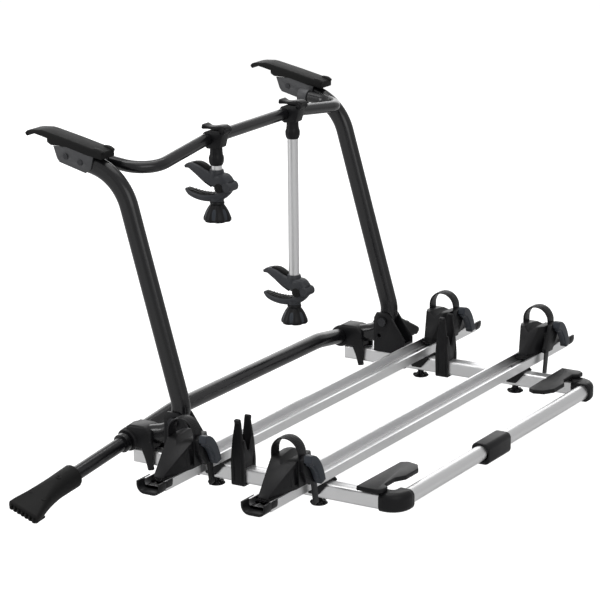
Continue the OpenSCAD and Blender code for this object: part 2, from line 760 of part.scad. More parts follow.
module tray_saddles() {
    in = rail_w / 2 + play;
    color("#1d1d1f") for (s = [-1, 1], y = [inner_y, outer_y]) difference() {
        union() {
            box(s * side_x - in - saddle_wing_t, s * side_x + in + saddle_wing_t, y - tray_w / 2, y + tray_w / 2,
                rail_h, tray_z);
            for (t = [-1, 1]) side_plate(s * side_x + t * (in + saddle_wing_t / 2), saddle_wing_t)
                polygon([[y - tray_w / 2, tray_z], [y - saddle_wing_l / 2, rail_h],
                    [y - saddle_foot_l / 2, rail_h - saddle_wing_h], [y + saddle_foot_l / 2, rail_h - saddle_wing_h],
                    [y + saddle_wing_l / 2, rail_h], [y + tray_w / 2, tray_z]]);
        }
        translate([s * side_x, y, rail_h - cut]) cylinder(d = screw_d, h = saddle_t + 2 * cut);
    }
}

module rail_clip(s) {
    w = rail_w / 2;
    color("#1d1d1f") translate([s * side_x, 0, 0]) {
        front_plate(-clip_back - clip_foot_l / 2, clip_foot_l) translate([-w - clip_wall, -clip_base_t])
            square([2 * w + 2 * clip_wall, clip_base_t]);
        for (t = [-1, 1]) side_plate(t * (w + clip_wall / 2), clip_wall) translate([-clip_back, 0])
            polygon([[-clip_foot_l / 2, -clip_base_t], [clip_foot_l / 2, -clip_base_t],
                [clip_foot_l / 2, clip_shoulder_h], [clip_finger_l / 2, clip_h], [-clip_finger_l / 2, clip_h],
                [-clip_foot_l / 2, clip_shoulder_h]]);
    }
}

module tray_knob(s, y) {
    color("#1d1d1f") translate([s * side_x, y, 0]) difference() {
        union() {
            translate([0, 0, -play - knob_stem_h]) cylinder(d = knob_stem_d, h = knob_stem_h);
            translate([0, 0, -play - knob_stem_h - knob_wing_h]) linear_extrude(knob_wing_h)
                stadium(knob_wing_l, knob_wing_w);
        }
        translate([0, 0, -knob_bore]) cylinder(d = screw_d + 2 * small_slip, h = knob_bore);
    }
}

// Wheel holders

// Child in its own place on the right, or mirrored to the left
module on_side(s) {
    if (s < 0) mirror([1, 0, 0]) children();
    else children();
}

module chock(s, y) {
    half = tray_w / 2 - tray_lip - tongue_gap;
    outer = chock_w / 2 + strap_t;
    color("#1d1d1f") on_side(s) translate([chock_x, y, chock_z]) {
        difference() {
            front_plate(-chock_w / 2, chock_w) polygon(concat([[0, -chock_lift]], pts(chock_shares, chock_l, chock_h),
                [[chock_l, -chock_lift]]));
            for (t = [-1, 1], i = [0, 2]) translate([0, 0, -chock_lift - cut]) linear_extrude(2 * chock_h)
                polygon(pts(concat([for (j = [0, 1]) [chock_plan_shares[i + j][0], t * chock_plan_shares[i + j][1]]],
                    [[chock_plan_shares[i + 1][0], t], [chock_plan_shares[i][0], t]]), chock_l, chock_w));
            side_plate(chock_l / 2, 2 * chock_l) polygon([[0, chock_h - notch_depth], [groove_w / 2, chock_h + cut],
                [-groove_w / 2, chock_h + cut]]);
            for (v = pocket_shares, t = [-1, 1]) front_plate(t * (chock_w / 2 - pocket_d / 2) - pocket_d / 2 - cut,
                pocket_d + 2 * cut) polygon(pts(v, chock_l, chock_h));
        }
        box(tongue_shares[0] * chock_l, tongue_shares[1] * chock_l, -half, half, -chock_lift - tongue_h, cut - chock_lift);
        translate([loop_out, 0, 0]) {
            front_plate(-outer - lug_t, lug_t) polygon(pts(lug_shares, lug_l, lug_h));
            box(lug_foot_x[0], lug_foot_x[1], -outer - cut, -chock_w / 2 + cut, 0, lug_foot_h);
            translate([0, -outer, ratchet_pin_z]) rotate([90, 0, 0])
                cylinder(d = ratchet_pin_d, h = lug_t + play + ratchet_t);
        }
    }
}

module strap(s, y) {
    r = chock_w / 2;
    top = chock_h + loop_rise - strap_t - r;
    tail_y = -r - strap_t - lug_t / 2;
    color("#2b2b2e") on_side(s) translate([chock_x + loop_out, y, chock_z]) {
        translate([-strap_w / 2, 0, 0]) rotate([90, 0, 90]) linear_extrude(strap_w) {
            for (t = [-1, 1]) translate([t * (r + strap_t / 2) - strap_t / 2, loop_base])
                square([strap_t, top - loop_base]);
            difference() {
                translate([0, top]) circle(r = r + strap_t);
                translate([0, top]) circle(r = r);
                translate([-r - strap_t - cut, top - r - strap_t - cut])
                    square([2 * (r + strap_t + cut), r + strap_t + cut]);
            }
        }
        front_plate(tail_y - strap_t / 2, strap_t) polygon([[tail_shares[0] * lug_l - tail_w / 2, 0],
            [tail_shares[1] * lug_l - tail_w / 2, -tail_l], [tail_shares[1] * lug_l + tail_w / 2, -tail_l],
            [tail_shares[0] * lug_l + tail_w / 2, 0]]);
    }
}

module ratchet(s, y) {
    middle = ratchet_in_r + ratchet_w / 2;
    side = y - chock_w / 2 - strap_t - lug_t - play;
    color("#46505c") translate([s * (chock_x + loop_out), side, chock_z + ratchet_pin_z])
        rotate([90, 0, 0]) difference() {
            translate([-middle * cos(ratchet_pin_turn), -middle * sin(ratchet_pin_turn), 0])
                rotate([0, 0, ratchet_start]) rotate_extrude(angle = ratchet_turn)
                translate([ratchet_in_r, 0]) square([ratchet_w, ratchet_t]);
            translate([0, 0, -cut]) cylinder(d = ratchet_pin_d + 2 * small_slip, h = ratchet_t + 2 * cut);
        }
}

// Frame holders

module clamp(s) {
    x = s * holder_x;
    pin = bow_mid + [-lever_pin_back, lever_pin_up];
    ear = (clamp_w - lever_neck_w - 2 * play) / 2;
    color("#26272a") difference() {
        union() {
            x_pin(x, bow_mid, bow_d + 2 * clamp_wall, clamp_w);
            side_plate(x, clamp_w) translate(bow_mid) polygon(pts(clamp_shares, clamp_l, clamp_h));
            for (t = [-1, 1]) x_pin(x + t * (clamp_w - ear) / 2, pin, lever_ear_d, ear);
            translate([x, bow_mid_y - tube_back, bow_mid_z - socket_top - socket_len])
                cylinder(d = holder_tube_d + 2 * socket_wall, h = socket_len);
        }
        x_pin(x, bow_mid, bow_d + 2 * small_slip, clamp_w + 2 * cut);
        x_pin(x, pin, lever_pin_d + 2 * small_slip, clamp_w + 2 * cut);
        x_pin(x, pin, lever_knuckle_d + 2 * play, lever_neck_w + 2 * play);
        translate([x, bow_mid_y - tube_back, bow_mid_z - socket_top - socket_len - cut])
            cylinder(d = holder_tube_d, h = socket_in + cut);
        box(x - clamp_w, x + clamp_w, bow_mid_y, bow_mid_y + bow_d, bow_mid_z - clamp_gap / 2,
            bow_mid_z + clamp_gap / 2);
    }
}

module lever(s) {
    x = s * holder_x;
    pin = bow_mid + [-lever_pin_back, lever_pin_up];
    color("#1d1d1f") {
        side_plate(x, clamp_w) translate(bow_mid) polygon(pts(lever_shares, lever_l, lever_h));
        box(x - lever_neck_w / 2, x + lever_neck_w / 2, pin[0], bow_mid_y - lever_l * 0.4,
            bow_mid_z + lever_plate_h, bow_mid_z + lever_h - cut);
        x_pin(x, pin, lever_knuckle_d, lever_neck_w);
        x_pin(x, pin, lever_pin_d, clamp_w);
    }
}

module holder_tube(s, l) {
    color("#c9cbcd") translate([s * holder_x, bow_mid_y - tube_back, jaw_z(l) - jaw_grip])
        linear_extrude(tube_top - jaw_z(l) + jaw_grip) difference() {
            circle(d = holder_tube_d);
            circle(d = holder_tube_d - 2 * tube_wall);
        }
}

module jaw_place(s, l) {
    translate([s * holder_x, bow_mid_y - tube_back, jaw_z(l)]) children();
}

module upper_jaw(s, l) {
    pin = [jaw_pin_share[0] * jaw_l, jaw_pin_share[1] * jaw_h];
    color("#343940") jaw_place(s, l) {
        difference() {
            side_plate(0, jaw_w) polygon(pts(upper_shares, jaw_l, jaw_h));
            side_plate(0, jaw_knuckle_w + 2 * jaw_slip) polygon(pts(slot_shares, jaw_l, jaw_h));
            translate([0, 0, -jaw_grip]) cylinder(d = holder_tube_d, h = 2 * jaw_grip);
        }
        x_pin(0, pin, jaw_pin_d, jaw_w - 2 * cut);
    }
}

module lower_jaw(s, l) {
    pin = [jaw_pin_share[0] * jaw_l, jaw_pin_share[1] * jaw_h];
    color("#343940") jaw_place(s, l) difference() {
        union() {
            side_plate(0, jaw_w) polygon(pts(lower_shares, jaw_l, jaw_h));
            side_plate(0, jaw_knuckle_w) polygon(pts(arm_shares, jaw_l, jaw_h));
            x_pin(0, pin, jaw_knuckle_d, jaw_knuckle_w);
        }
        x_pin(0, pin, jaw_pin_d + 2 * small_slip, jaw_w);
        translate([0, 0, -2 * jaw_h]) cylinder(d = jaw_screw_d + 2 * small_slip, h = 2 * jaw_h);
    }
}

module knob(s, l) {
    r = knob_d / 2;
    color("#1d1d1f") jaw_place(s, l) translate([0, 0, -jaw_h - knob_gap]) {
        difference() {
            rotate_extrude() polygon([[0, 0], [knob_neck_d / 2, 0], [knob_neck_d / 2, -knob_neck_h],
                [r, knob_rim_h - knob_h], [r - knob_rim_in, -knob_h], [0, -knob_h]]);
            for (i = [0:knob_lobes - 1]) rotate([0, 0, i * 360 / knob_lobes])
                translate([r + knob_scallop_d / 2 - knob_scallop_in, 0, -knob_h - cut])
                cylinder(d = knob_scallop_d, h = knob_h - knob_neck_h + cut);
        }
        cylinder(d = jaw_screw_d, h = jaw_h + knob_gap - jaw_screw_top);
    }
}

// Every piece, moved so that the origin is the middle of the tailgate edge
translate(-origin) {
    upright(-1);  // upright_left
    upright(1);  // upright_right
    upper_crossbar();
    lower_crossbar();
    hook_cover(-1);  // hook_cover_left
    hook_cover(1);  // hook_cover_right
    hook_bracket(-1);  // hook_bracket_left
    hook_bracket(1);  // hook_bracket_right
    mast_fasteners();
    junction(-1);  // junction_left
    junction(1);  // junction_right
    foot_arm(-1);  // foot_arm_left
    foot_arm(1);  // foot_arm_right
    foot(-1);  // foot_left
    foot(1);  // foot_right
    rail(-1);  // rail_left
    rail(1);  // rail_right
    hinge_bracket(-1);  // hinge_bracket_left
    hinge_bracket(1);  // hinge_bracket_right
    bracket_bolts();
    rear_bar();
    rear_sleeve();
    corner_elbow(-1);  // corner_elbow_left
    corner_elbow(1);  // corner_elbow_right
    corner_pad(-1);  // corner_pad_left
    corner_pad(1);  // corner_pad_right
    tray(inner_y);  // tray_inner
    tray(outer_y);  // tray_outer
    tray_end_caps();
    tray_saddles();
    rail_clip(-1);  // rail_clip_left
    rail_clip(1);  // rail_clip_right
    tray_knob(-1, inner_y);  // tray_knob_inner_left
    tray_knob(1, inner_y);  // tray_knob_inner_right
    tray_knob(-1, outer_y);  // tray_knob_outer_left
    tray_knob(1, outer_y);  // tray_knob_outer_right
    chock(-1, inner_y);  // chock_inner_left
    chock(1, inner_y);  // chock_inner_right
    chock(-1, outer_y);  // chock_outer_left
    chock(1, outer_y);  // chock_outer_right
    strap(-1, inner_y);  // strap_inner_left
    strap(1, inner_y);  // strap_inner_right
    strap(-1, outer_y);  // strap_outer_left
    strap(1, outer_y);  // strap_outer_right
    ratchet(-1, inner_y);  // ratchet_inner_left
    ratchet(1, inner_y);  // ratchet_inner_right
    ratchet(-1, outer_y);  // ratchet_outer_left
    ratchet(1, outer_y);  // ratchet_outer_right
    clamp(-1);  // short_clamp
    lever(-1);  // short_lever
    holder_tube(-1, short_tube_l);  // short_tube
    upper_jaw(-1, short_tube_l);  // short_upper_jaw
    lower_jaw(-1, short_tube_l);  // short_lower_jaw
    knob(-1, short_tube_l);  // short_knob
    clamp(1);  // long_clamp
    lever(1);  // long_lever
    holder_tube(1, long_tube_l);  // long_tube
    upper_jaw(1, long_tube_l);  // long_upper_jaw
    lower_jaw(1, long_tube_l);  // long_lower_jaw
    knob(1, long_tube_l);  // long_knob
}
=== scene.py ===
"""Looks of a rear bike rack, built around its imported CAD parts.

Every length is in metres in the frame of the CAD model: X to the right seen from behind the vehicle,
Y towards the vehicle, Z up, with the origin on the tailgate edge between the two hooks.
"""

import json
import logging
import math
from dataclasses import dataclass, field
from enum import Enum

import bmesh
import bpy
from mathutils import Matrix, Vector

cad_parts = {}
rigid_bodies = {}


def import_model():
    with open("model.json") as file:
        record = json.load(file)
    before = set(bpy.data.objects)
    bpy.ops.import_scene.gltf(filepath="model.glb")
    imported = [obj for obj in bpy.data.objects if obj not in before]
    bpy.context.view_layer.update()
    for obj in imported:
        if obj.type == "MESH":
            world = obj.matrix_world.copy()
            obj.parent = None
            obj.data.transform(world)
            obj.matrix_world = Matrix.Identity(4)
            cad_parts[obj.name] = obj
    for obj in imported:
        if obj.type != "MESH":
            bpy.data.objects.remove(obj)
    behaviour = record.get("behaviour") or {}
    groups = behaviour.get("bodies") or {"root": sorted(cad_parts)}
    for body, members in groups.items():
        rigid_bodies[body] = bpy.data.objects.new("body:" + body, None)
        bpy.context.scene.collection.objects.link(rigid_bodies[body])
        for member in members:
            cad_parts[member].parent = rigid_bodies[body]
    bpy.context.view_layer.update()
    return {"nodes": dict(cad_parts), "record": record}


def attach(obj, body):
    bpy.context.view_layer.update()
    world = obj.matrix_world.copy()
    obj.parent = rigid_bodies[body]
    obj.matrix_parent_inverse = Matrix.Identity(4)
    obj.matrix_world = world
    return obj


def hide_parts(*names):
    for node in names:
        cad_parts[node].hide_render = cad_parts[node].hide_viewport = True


LOG = logging.getLogger("bike_rack")
RAIL_NOSE = Vector((0.0, -0.195, -0.619968))
MM_PER_M = 1000.0
# Edges of a moulding that bend more than this many degrees get rounded
SHARP_EDGE = 28.0
# Steps round each corner of a section, and the angles of the rings that round its ends
CORNER_STEPS = 4
END_ANGLES = tuple(math.radians(a) for a in (30, 60, 85))
# Share of a lobed piece's height over which its lobes rise
LOBE_RISE = 0.4
# Points closer than this many metres are one point
MERGE_DIST = 1e-6
AHEAD, RIGHTWARD, UPWARD = Vector((0, 1, 0)), Vector((1, 0, 0)), Vector((0, 0, 1))
# Millimetres from the middle of the rack to the middle of a side rail and of an upright
RAIL_X = 400.0
# Millimetres of silver tube that show on the short and on the long frame holder
SHORT_TUBE, LONG_TUBE = 10.0, 288.0
# The lower crossbar beyond its bend, in millimetres: where that starts, its height there, its fall and its run
# ahead for each millimetre outwards
CROSS_BEND_X, CROSS_Z, CROSS_SLOPE, CROSS_SWEEP = 274.0, 68.0, 0.161, 0.073


class Side(Enum):
    """Which side of the rack a piece is on, seen from behind the vehicle."""

    LEFT = -1
    RIGHT = 1

    @property
    def word(self) -> str:
        """The side's name as the CAD nodes use it."""
        return self.name.lower()


class Row(Enum):
    """Which wheel tray a piece sits on."""

    INNER = "inner"
    OUTER = "outer"

    @property
    def middle_y(self) -> float:
        """The middle of the row's tray, in millimetres ahead of the rail noses."""
        return -180.0 if self is Row.INNER else -406.0


class Grain(Enum):
    """Direction in which a drawn or brushed surface shows its lines."""

    ALONG_X = (0.02, 1.0, 1.0)
    ALONG_Y = (1.0, 0.02, 1.0)
    ALONG_Z = (1.0, 1.0, 0.02)
    NONE = (1.0, 1.0, 1.0)


def rack_point(x: float, y: float, z: float) -> Vector:
    """Turns a place measured from the nose of the rails into the CAD model's frame.

    Args:
        x: millimetres to the right of the middle.
        y: millimetres ahead of the rail noses.
        z: millimetres above the rails' underside.

    Returns:
        The same place in metres in the CAD model's frame.
    """
    return RAIL_NOSE + Vector((x, y, z)) / MM_PER_M


def crossbar_point(side: Side, x: float) -> Vector:
    """The middle of the lower crossbar, or of the foot arm in it, beyond the bend.

    Args:
        side: the side of the rack.
        x: millimetres from the middle of the rack.

    Returns:
        The place in metres in the CAD model's frame.
    """
    run = x - CROSS_BEND_X
    return rack_point(side.value * x, run * CROSS_SWEEP, CROSS_Z - run * CROSS_SLOPE)


def crossbar_direction(side: Side) -> Vector:
    """The unit direction of one end of the lower crossbar, outwards and down."""
    return Vector((side.value, CROSS_SWEEP, -CROSS_SLOPE)).normalized()


def set_inputs(node: bpy.types.Node, **inputs: object) -> None:
    """Sets the defaults of a node's inputs; the names have underscores for spaces."""
    for name, value in inputs.items():
        node.inputs[name.replace("_", " ")].default_value = value


def add_node(tree: bpy.types.NodeTree, kind: str, operation: str = "", **inputs: object) -> bpy.types.Node:
    """Adds a shader node and sets the defaults of its inputs.

    Args:
        tree: the tree it is added to.
        kind: the node's type.
        operation: the node's operation, where it has one.
        inputs: input names with underscores for spaces, and their defaults.

    Returns:
        The node.
    """
    node = tree.nodes.new(kind)
    if operation:
        node.operation = operation
    set_inputs(node, **inputs)
    return node


def multiply(tree: bpy.types.NodeTree, first: bpy.types.NodeSocket,
             second: bpy.types.NodeSocket) -> bpy.types.NodeSocket:
    """Adds the product of two values to a tree and returns its output."""
    node = add_node(tree, "ShaderNodeMath", "MULTIPLY")
    tree.links.new(first, node.inputs[0])
    tree.links.new(second, node.inputs[1])
    return node.outputs["Value"]


def noise(tree: bpy.types.NodeTree, detail: float, scale: bpy.types.NodeSocket,
          place: bpy.types.NodeSocket | None = None) -> bpy.types.NodeSocket:
    """Adds noise to a tree.

    Args:
        tree: the tree it is added to.
        detail: the noise's detail.
        scale: the socket that gives its scale.
        place: the socket that gives its place, or None for plain object coordinates.

    Returns:
        The socket of the noise's value.
    """
    node = add_node(tree, "ShaderNodeTexNoise", Detail=detail)
    tree.links.new(place or tree.nodes.new("ShaderNodeTexCoord").outputs["Object"], node.inputs["Vector"])
    tree.links.new(scale, node.inputs["Scale"])
    return node.outputs["Fac"]


def add_object(name: str, work: bmesh.types.BMesh) -> bpy.types.Object:
    """Adds an object made of a bmesh to the scene, and frees the bmesh."""
    mesh = bpy.data.meshes.new(name)
    work.to_mesh(mesh)
    work.free()
    thing = bpy.data.objects.new(name, mesh)
    bpy.context.scene.collection.objects.link(thing)
    return thing


class GroupShop:
    """Builds the shader node groups that the finishes share, once each."""

    @staticmethod
    def _new(name: str, inputs: dict[str, float], outputs: tuple[str, ...]) -> bpy.types.NodeTree:
        """Makes an empty node group.

        Args:
            name: the group's name.
            inputs: names and defaults of its number inputs.
            outputs: names of its number outputs.

        Returns:
            The group, with its input and output nodes named IN and OUT.
        """
        tree = bpy.data.node_groups.new(name, "ShaderNodeTree")
        for key, value in inputs.items():
            tree.interface.new_socket(name=key, in_out="INPUT", socket_type="NodeSocketFloat").default_value = value
        for key in outputs:
            tree.interface.new_socket(name=key, in_out="OUTPUT", socket_type="NodeSocketFloat")
        tree.nodes.new("NodeGroupInput").name = "IN"
        tree.nodes.new("NodeGroupOutput").name = "OUT"
        return tree

    @classmethod
    def edge_wear(cls) -> bpy.types.NodeTree:
        """A mask that is 1 on the exposed edges of a piece, broken up by noise."""
        if "edge wear" in bpy.data.node_groups:
            return bpy.data.node_groups["edge wear"]
        tree = cls._new("edge wear", {"Radius": 0.0012, "Amount": 0.5, "Scale": 90.0}, ("Mask",))
        source, link = tree.nodes["IN"].outputs, tree.links.new
        bevel = tree.nodes.new("ShaderNodeBevel")
        bevel.samples = 4
        geometry = tree.nodes.new("ShaderNodeNewGeometry")
        dot = add_node(tree, "ShaderNodeVectorMath", "DOT_PRODUCT")
        rim = add_node(tree, "ShaderNodeMapRange", From_Min=0.995, From_Max=0.86)
        scuff = add_node(tree, "ShaderNodeMapRange", From_Min=0.42, From_Max=0.62)
        link(source["Radius"], bevel.inputs["Radius"])
        link(bevel.outputs["Normal"], dot.inputs[0])
        link(geometry.outputs["Normal"], dot.inputs[1])
        link(dot.outputs["Value"], rim.inputs["Value"])
        link(noise(tree, 4.0, source["Scale"]), scuff.inputs["Value"])
        both = multiply(tree, rim.outputs["Result"], scuff.outputs["Result"])
        link(multiply(tree, both, source["Amount"]), tree.nodes["OUT"].inputs["Mask"])
        return tree

    @classmethod
    def grain(cls) -> bpy.types.NodeTree:
        """A surface height made of stretched noise, for moulded, cast, brushed and powder-coated skins."""
        if "surface grain" in bpy.data.node_groups:
            return bpy.data.node_groups["surface grain"]
        tree = cls._new("surface grain", {"Scale": 800.0, "Coarse": 120.0}, ("Height", "Cloud"))
        tree.interface.new_socket(name="Stretch", in_out="INPUT", socket_type="NodeSocketVector")
        source, out, link = tree.nodes["IN"].outputs, tree.nodes["OUT"].inputs, tree.links.new
        coordinate = tree.nodes.new("ShaderNodeTexCoord")
        stretch = add_node(tree, "ShaderNodeVectorMath", "MULTIPLY")
        link(coordinate.outputs["Object"], stretch.inputs[0])
        link(source["Stretch"], stretch.inputs[1])
        for scale, detail, result in (("Scale", 3.0, "Height"), ("Coarse", 2.0, "Cloud")):
            link(noise(tree, detail, source[scale], stretch.outputs["Vector"]), out[result])
        return tree

    @classmethod
    def dust(cls) -> bpy.types.NodeTree:
        """A mask of thin dust on surfaces that face up, thicker in patches."""
        if "settled dust" in bpy.data.node_groups:
            return bpy.data.node_groups["settled dust"]
        tree = cls._new("settled dust", {"Amount": 0.05, "Scale": 25.0}, ("Mask",))
        source, link = tree.nodes["IN"].outputs, tree.links.new
        geometry = tree.nodes.new("ShaderNodeNewGeometry")
        split = tree.nodes.new("ShaderNodeSeparateXYZ")
        up = add_node(tree, "ShaderNodeMapRange", From_Min=0.35)
        link(geometry.outputs["Normal"], split.inputs["Vector"])
        link(split.outputs["Z"], up.inputs["Value"])
        patch = multiply(tree, up.outputs["Result"], noise(tree, 5.0, source["Scale"]))
        link(multiply(tree, patch, source["Amount"]), tree.nodes["OUT"].inputs["Mask"])
        return tree


DUST_COLOUR = (0.42, 0.40, 0.37)
# How much rougher a surface gets under full dust
DUST_ROUGHNESS = 0.25


@dataclass(frozen=True)
class Finish:
    """One surface finish, built as a Principled material with shared grain, wear and dust."""

    name: str
    colour: tuple[float, float, float]
    worn_colour: tuple[float, float, float]
    roughness: float
    metallic: float = 0.0
    specular: float = 0.5
    coat: float = 0.0
    coat_roughness: float = 0.1
    grain: Grain = Grain.NONE
    fine_scale: float = 700.0
    coarse_scale: float = 60.0
    bump: float = 0.20
    bump_depth: float = 0.0002
    rough_spread: float = 0.06
    shade_spread: float = 0.10
    wear: float = 0.35
    wear_radius: float = 0.0010
    dust: float = 0.01

    def build(self) -> bpy.types.Material:
        """Makes the material, or returns it if it was made before.

        Returns:
            The finish as a node material.
        """
        if self.name in bpy.data.materials:
            return bpy.data.materials[self.name]
        material = bpy.data.materials.new(self.name)
        material.use_nodes = True
        tree = material.node_tree
        shader, link = tree.nodes["Principled BSDF"], tree.links.new
        set_inputs(shader, Specular_IOR_Level=self.specular, Coat_Weight=self.coat, Metallic=self.metallic,
                   Coat_Roughness=self.coat_roughness)

        grain = self.group(tree, GroupShop.grain(), Stretch=self.grain.value, Scale=self.fine_scale,
                           Coarse=self.coarse_scale)
        wear = self.group(tree, GroupShop.edge_wear(), Radius=self.wear_radius, Amount=self.wear)
        dust = self.group(tree, GroupShop.dust(), Amount=self.dust)

        shade = add_node(tree, "ShaderNodeMapRange", To_Min=1.0 - self.shade_spread, To_Max=1.0 + self.shade_spread)
        link(grain.outputs["Cloud"], shade.inputs["Value"])
        tinted = add_node(tree, "ShaderNodeVectorMath", "SCALE")
        tinted.inputs[0].default_value = self.colour
        link(shade.outputs["Result"], tinted.inputs["Scale"])
        worn = self.mix(tree, tinted.outputs["Vector"], self.worn_colour, wear.outputs["Mask"])
        dusty = self.mix(tree, worn, DUST_COLOUR, dust.outputs["Mask"])
        link(dusty, shader.inputs["Base Color"])

        rough = add_node(tree, "ShaderNodeMapRange", To_Min=max(0.02, self.roughness - self.rough_spread),
                         To_Max=min(1.0, self.roughness + self.rough_spread))
        link(grain.outputs["Cloud"], rough.inputs["Value"])
        rough_dusty = add_node(tree, "ShaderNodeMath", "MULTIPLY_ADD")
        rough_dusty.inputs[1].default_value = DUST_ROUGHNESS
        link(dust.outputs["Mask"], rough_dusty.inputs[0])
        link(rough.outputs["Result"], rough_dusty.inputs[2])
        link(rough_dusty.outputs["Value"], shader.inputs["Roughness"])

        bump = add_node(tree, "ShaderNodeBump", Strength=self.bump, Distance=self.bump_depth)
        link(grain.outputs["Height"], bump.inputs["Height"])
        link(bump.outputs["Normal"], shader.inputs["Normal"])
        return material

    @staticmethod
    def group(tree: bpy.types.NodeTree, shared: bpy.types.NodeTree, **inputs: object) -> bpy.types.Node:
        """Adds a shared node group to a material and sets its inputs."""
        node = tree.nodes.new("ShaderNodeGroup")
        node.node_tree = shared
        set_inputs(node, **inputs)
        return node

    @staticmethod
    def mix(tree: bpy.types.NodeTree, base: bpy.types.NodeSocket, colour: tuple[float, float, float],
            mask: bpy.types.NodeSocket) -> bpy.types.NodeSocket:
        """Lays a colour over a base where a mask says so, and returns the result's socket."""
        node = tree.nodes.new("ShaderNodeMix")
        node.data_type = "RGBA"
        node.inputs["B"].default_value = (*colour, 1.0)
        tree.links.new(mask, node.inputs["Factor"])
        tree.links.new(base, node.inputs["A"])
        return node.outputs["Result"]


BLACK, WORN_BLACK = (0.007, 0.007, 0.008), (0.035, 0.035, 0.038)
SILVER, WORN_SILVER = (0.85, 0.85, 0.855), (0.92, 0.92, 0.92)
TUBE_BLACK = Finish("gloss black powder coat", (0.006, 0.006, 0.007), WORN_BLACK, 0.24, coat=0.10,
                    coat_roughness=0.12, fine_scale=520.0, bump=0.10, wear=0.12, dust=0.004, shade_spread=0.12)
SILVER_X, SILVER_Y = (
    Finish(f"silver anodised, drawn along {axis}", SILVER, WORN_SILVER, 0.36, metallic=1.0, grain=grain,
           fine_scale=900.0, bump=0.025, dust=0.004, shade_spread=0.03)
    for axis, grain in (("x", Grain.ALONG_X), ("y", Grain.ALONG_Y)))
SILVER_Z = Finish("silver anodised, drawn along z", SILVER, WORN_SILVER, 0.34, metallic=1.0, grain=Grain.ALONG_Z,
                  fine_scale=600.0, bump=0.01, wear=0.10, dust=0.0, shade_spread=0.02)
STEEL_PLATE = Finish("textured dark grey plate", (0.075, 0.076, 0.080), (0.12, 0.12, 0.13), 0.50, metallic=0.3,
                     fine_scale=260.0, coarse_scale=40.0, bump=0.55, bump_depth=0.0004, wear=0.6)
BOLT_STEEL = Finish("blackened steel", (0.055, 0.056, 0.060), (0.22, 0.22, 0.23), 0.34, metallic=0.8,
                    fine_scale=600.0, bump=0.12, wear=0.7)
CASTING = Finish("black coated casting", BLACK, (0.05, 0.05, 0.053), 0.40, specular=0.26,
                 fine_scale=420.0, bump=0.30, bump_depth=0.0003, wear=0.45)
BLACK_PLASTIC = Finish("black moulded plastic", BLACK, WORN_BLACK, 0.42, specular=0.24, bump=0.25, dust=0.012)
SLATE_PLASTIC = Finish("slate grey moulded plastic", (0.034, 0.036, 0.041), (0.08, 0.085, 0.10), 0.42,
                       specular=0.30, bump=0.22, dust=0.012)
BUCKLE_PLASTIC = Finish("blue grey buckle plastic", (0.030, 0.035, 0.044), (0.09, 0.10, 0.12), 0.42,
                        specular=0.35, wear=0.30)
STRAP_PLASTIC = Finish("black strap plastic", BLACK, WORN_BLACK, 0.36, specular=0.28, fine_scale=500.0, wear=0.25)
RUBBER = Finish("black rubber", (0.007, 0.007, 0.007), (0.03, 0.03, 0.03), 0.55, specular=0.18,
                fine_scale=380.0, bump=0.40, bump_depth=0.0004, dust=0.004)


@dataclass(frozen=True)
class Cut:
    """One rounded section of a skinned piece, in millimetres on its bench."""

    along: float
    up: float
    wide: float
    high: float
    corner: float = 0.6

    def blend(self, others: tuple["Cut", "Cut", "Cut"], t: float) -> "Cut":
        """A section between the next two cuts, on a smooth curve through all four.

        Args:
            others: the three cuts that come after this one.
            t: share of the way from the second cut to the third.

        Returns:
            The section at that share.
        """
        rows = [(c.along, c.up, c.wide, c.high, c.corner) for c in (self, *others)]
        values = []
        for p0, p1, p2, p3 in zip(*rows):
            bend, twist = 2 * p0 - 5 * p1 + 4 * p2 - p3, 3 * p1 - p0 - 3 * p2 + p3
            values.append(0.5 * (2 * p1 + (p2 - p0) * t + bend * t * t + twist * t ** 3))
        return Cut(*values[:4], min(0.97, max(0.05, values[4])))

    @staticmethod
    def flow(cuts: list["Cut"], steps: int) -> list["Cut"]:
        """Adds smooth sections between the given ones.

        Args:
            cuts: the given sections, at least two.
            steps: sections per gap.

        Returns:
            The finer line of sections.
        """
        ends = [cuts[0], *cuts, cuts[-1]]
        line = []
        for i in range(len(cuts) - 1):
            line += [ends[i].blend((ends[i + 1], ends[i + 2], ends[i + 3]), k / steps) for k in range(steps)]
        return [*line, cuts[-1]]


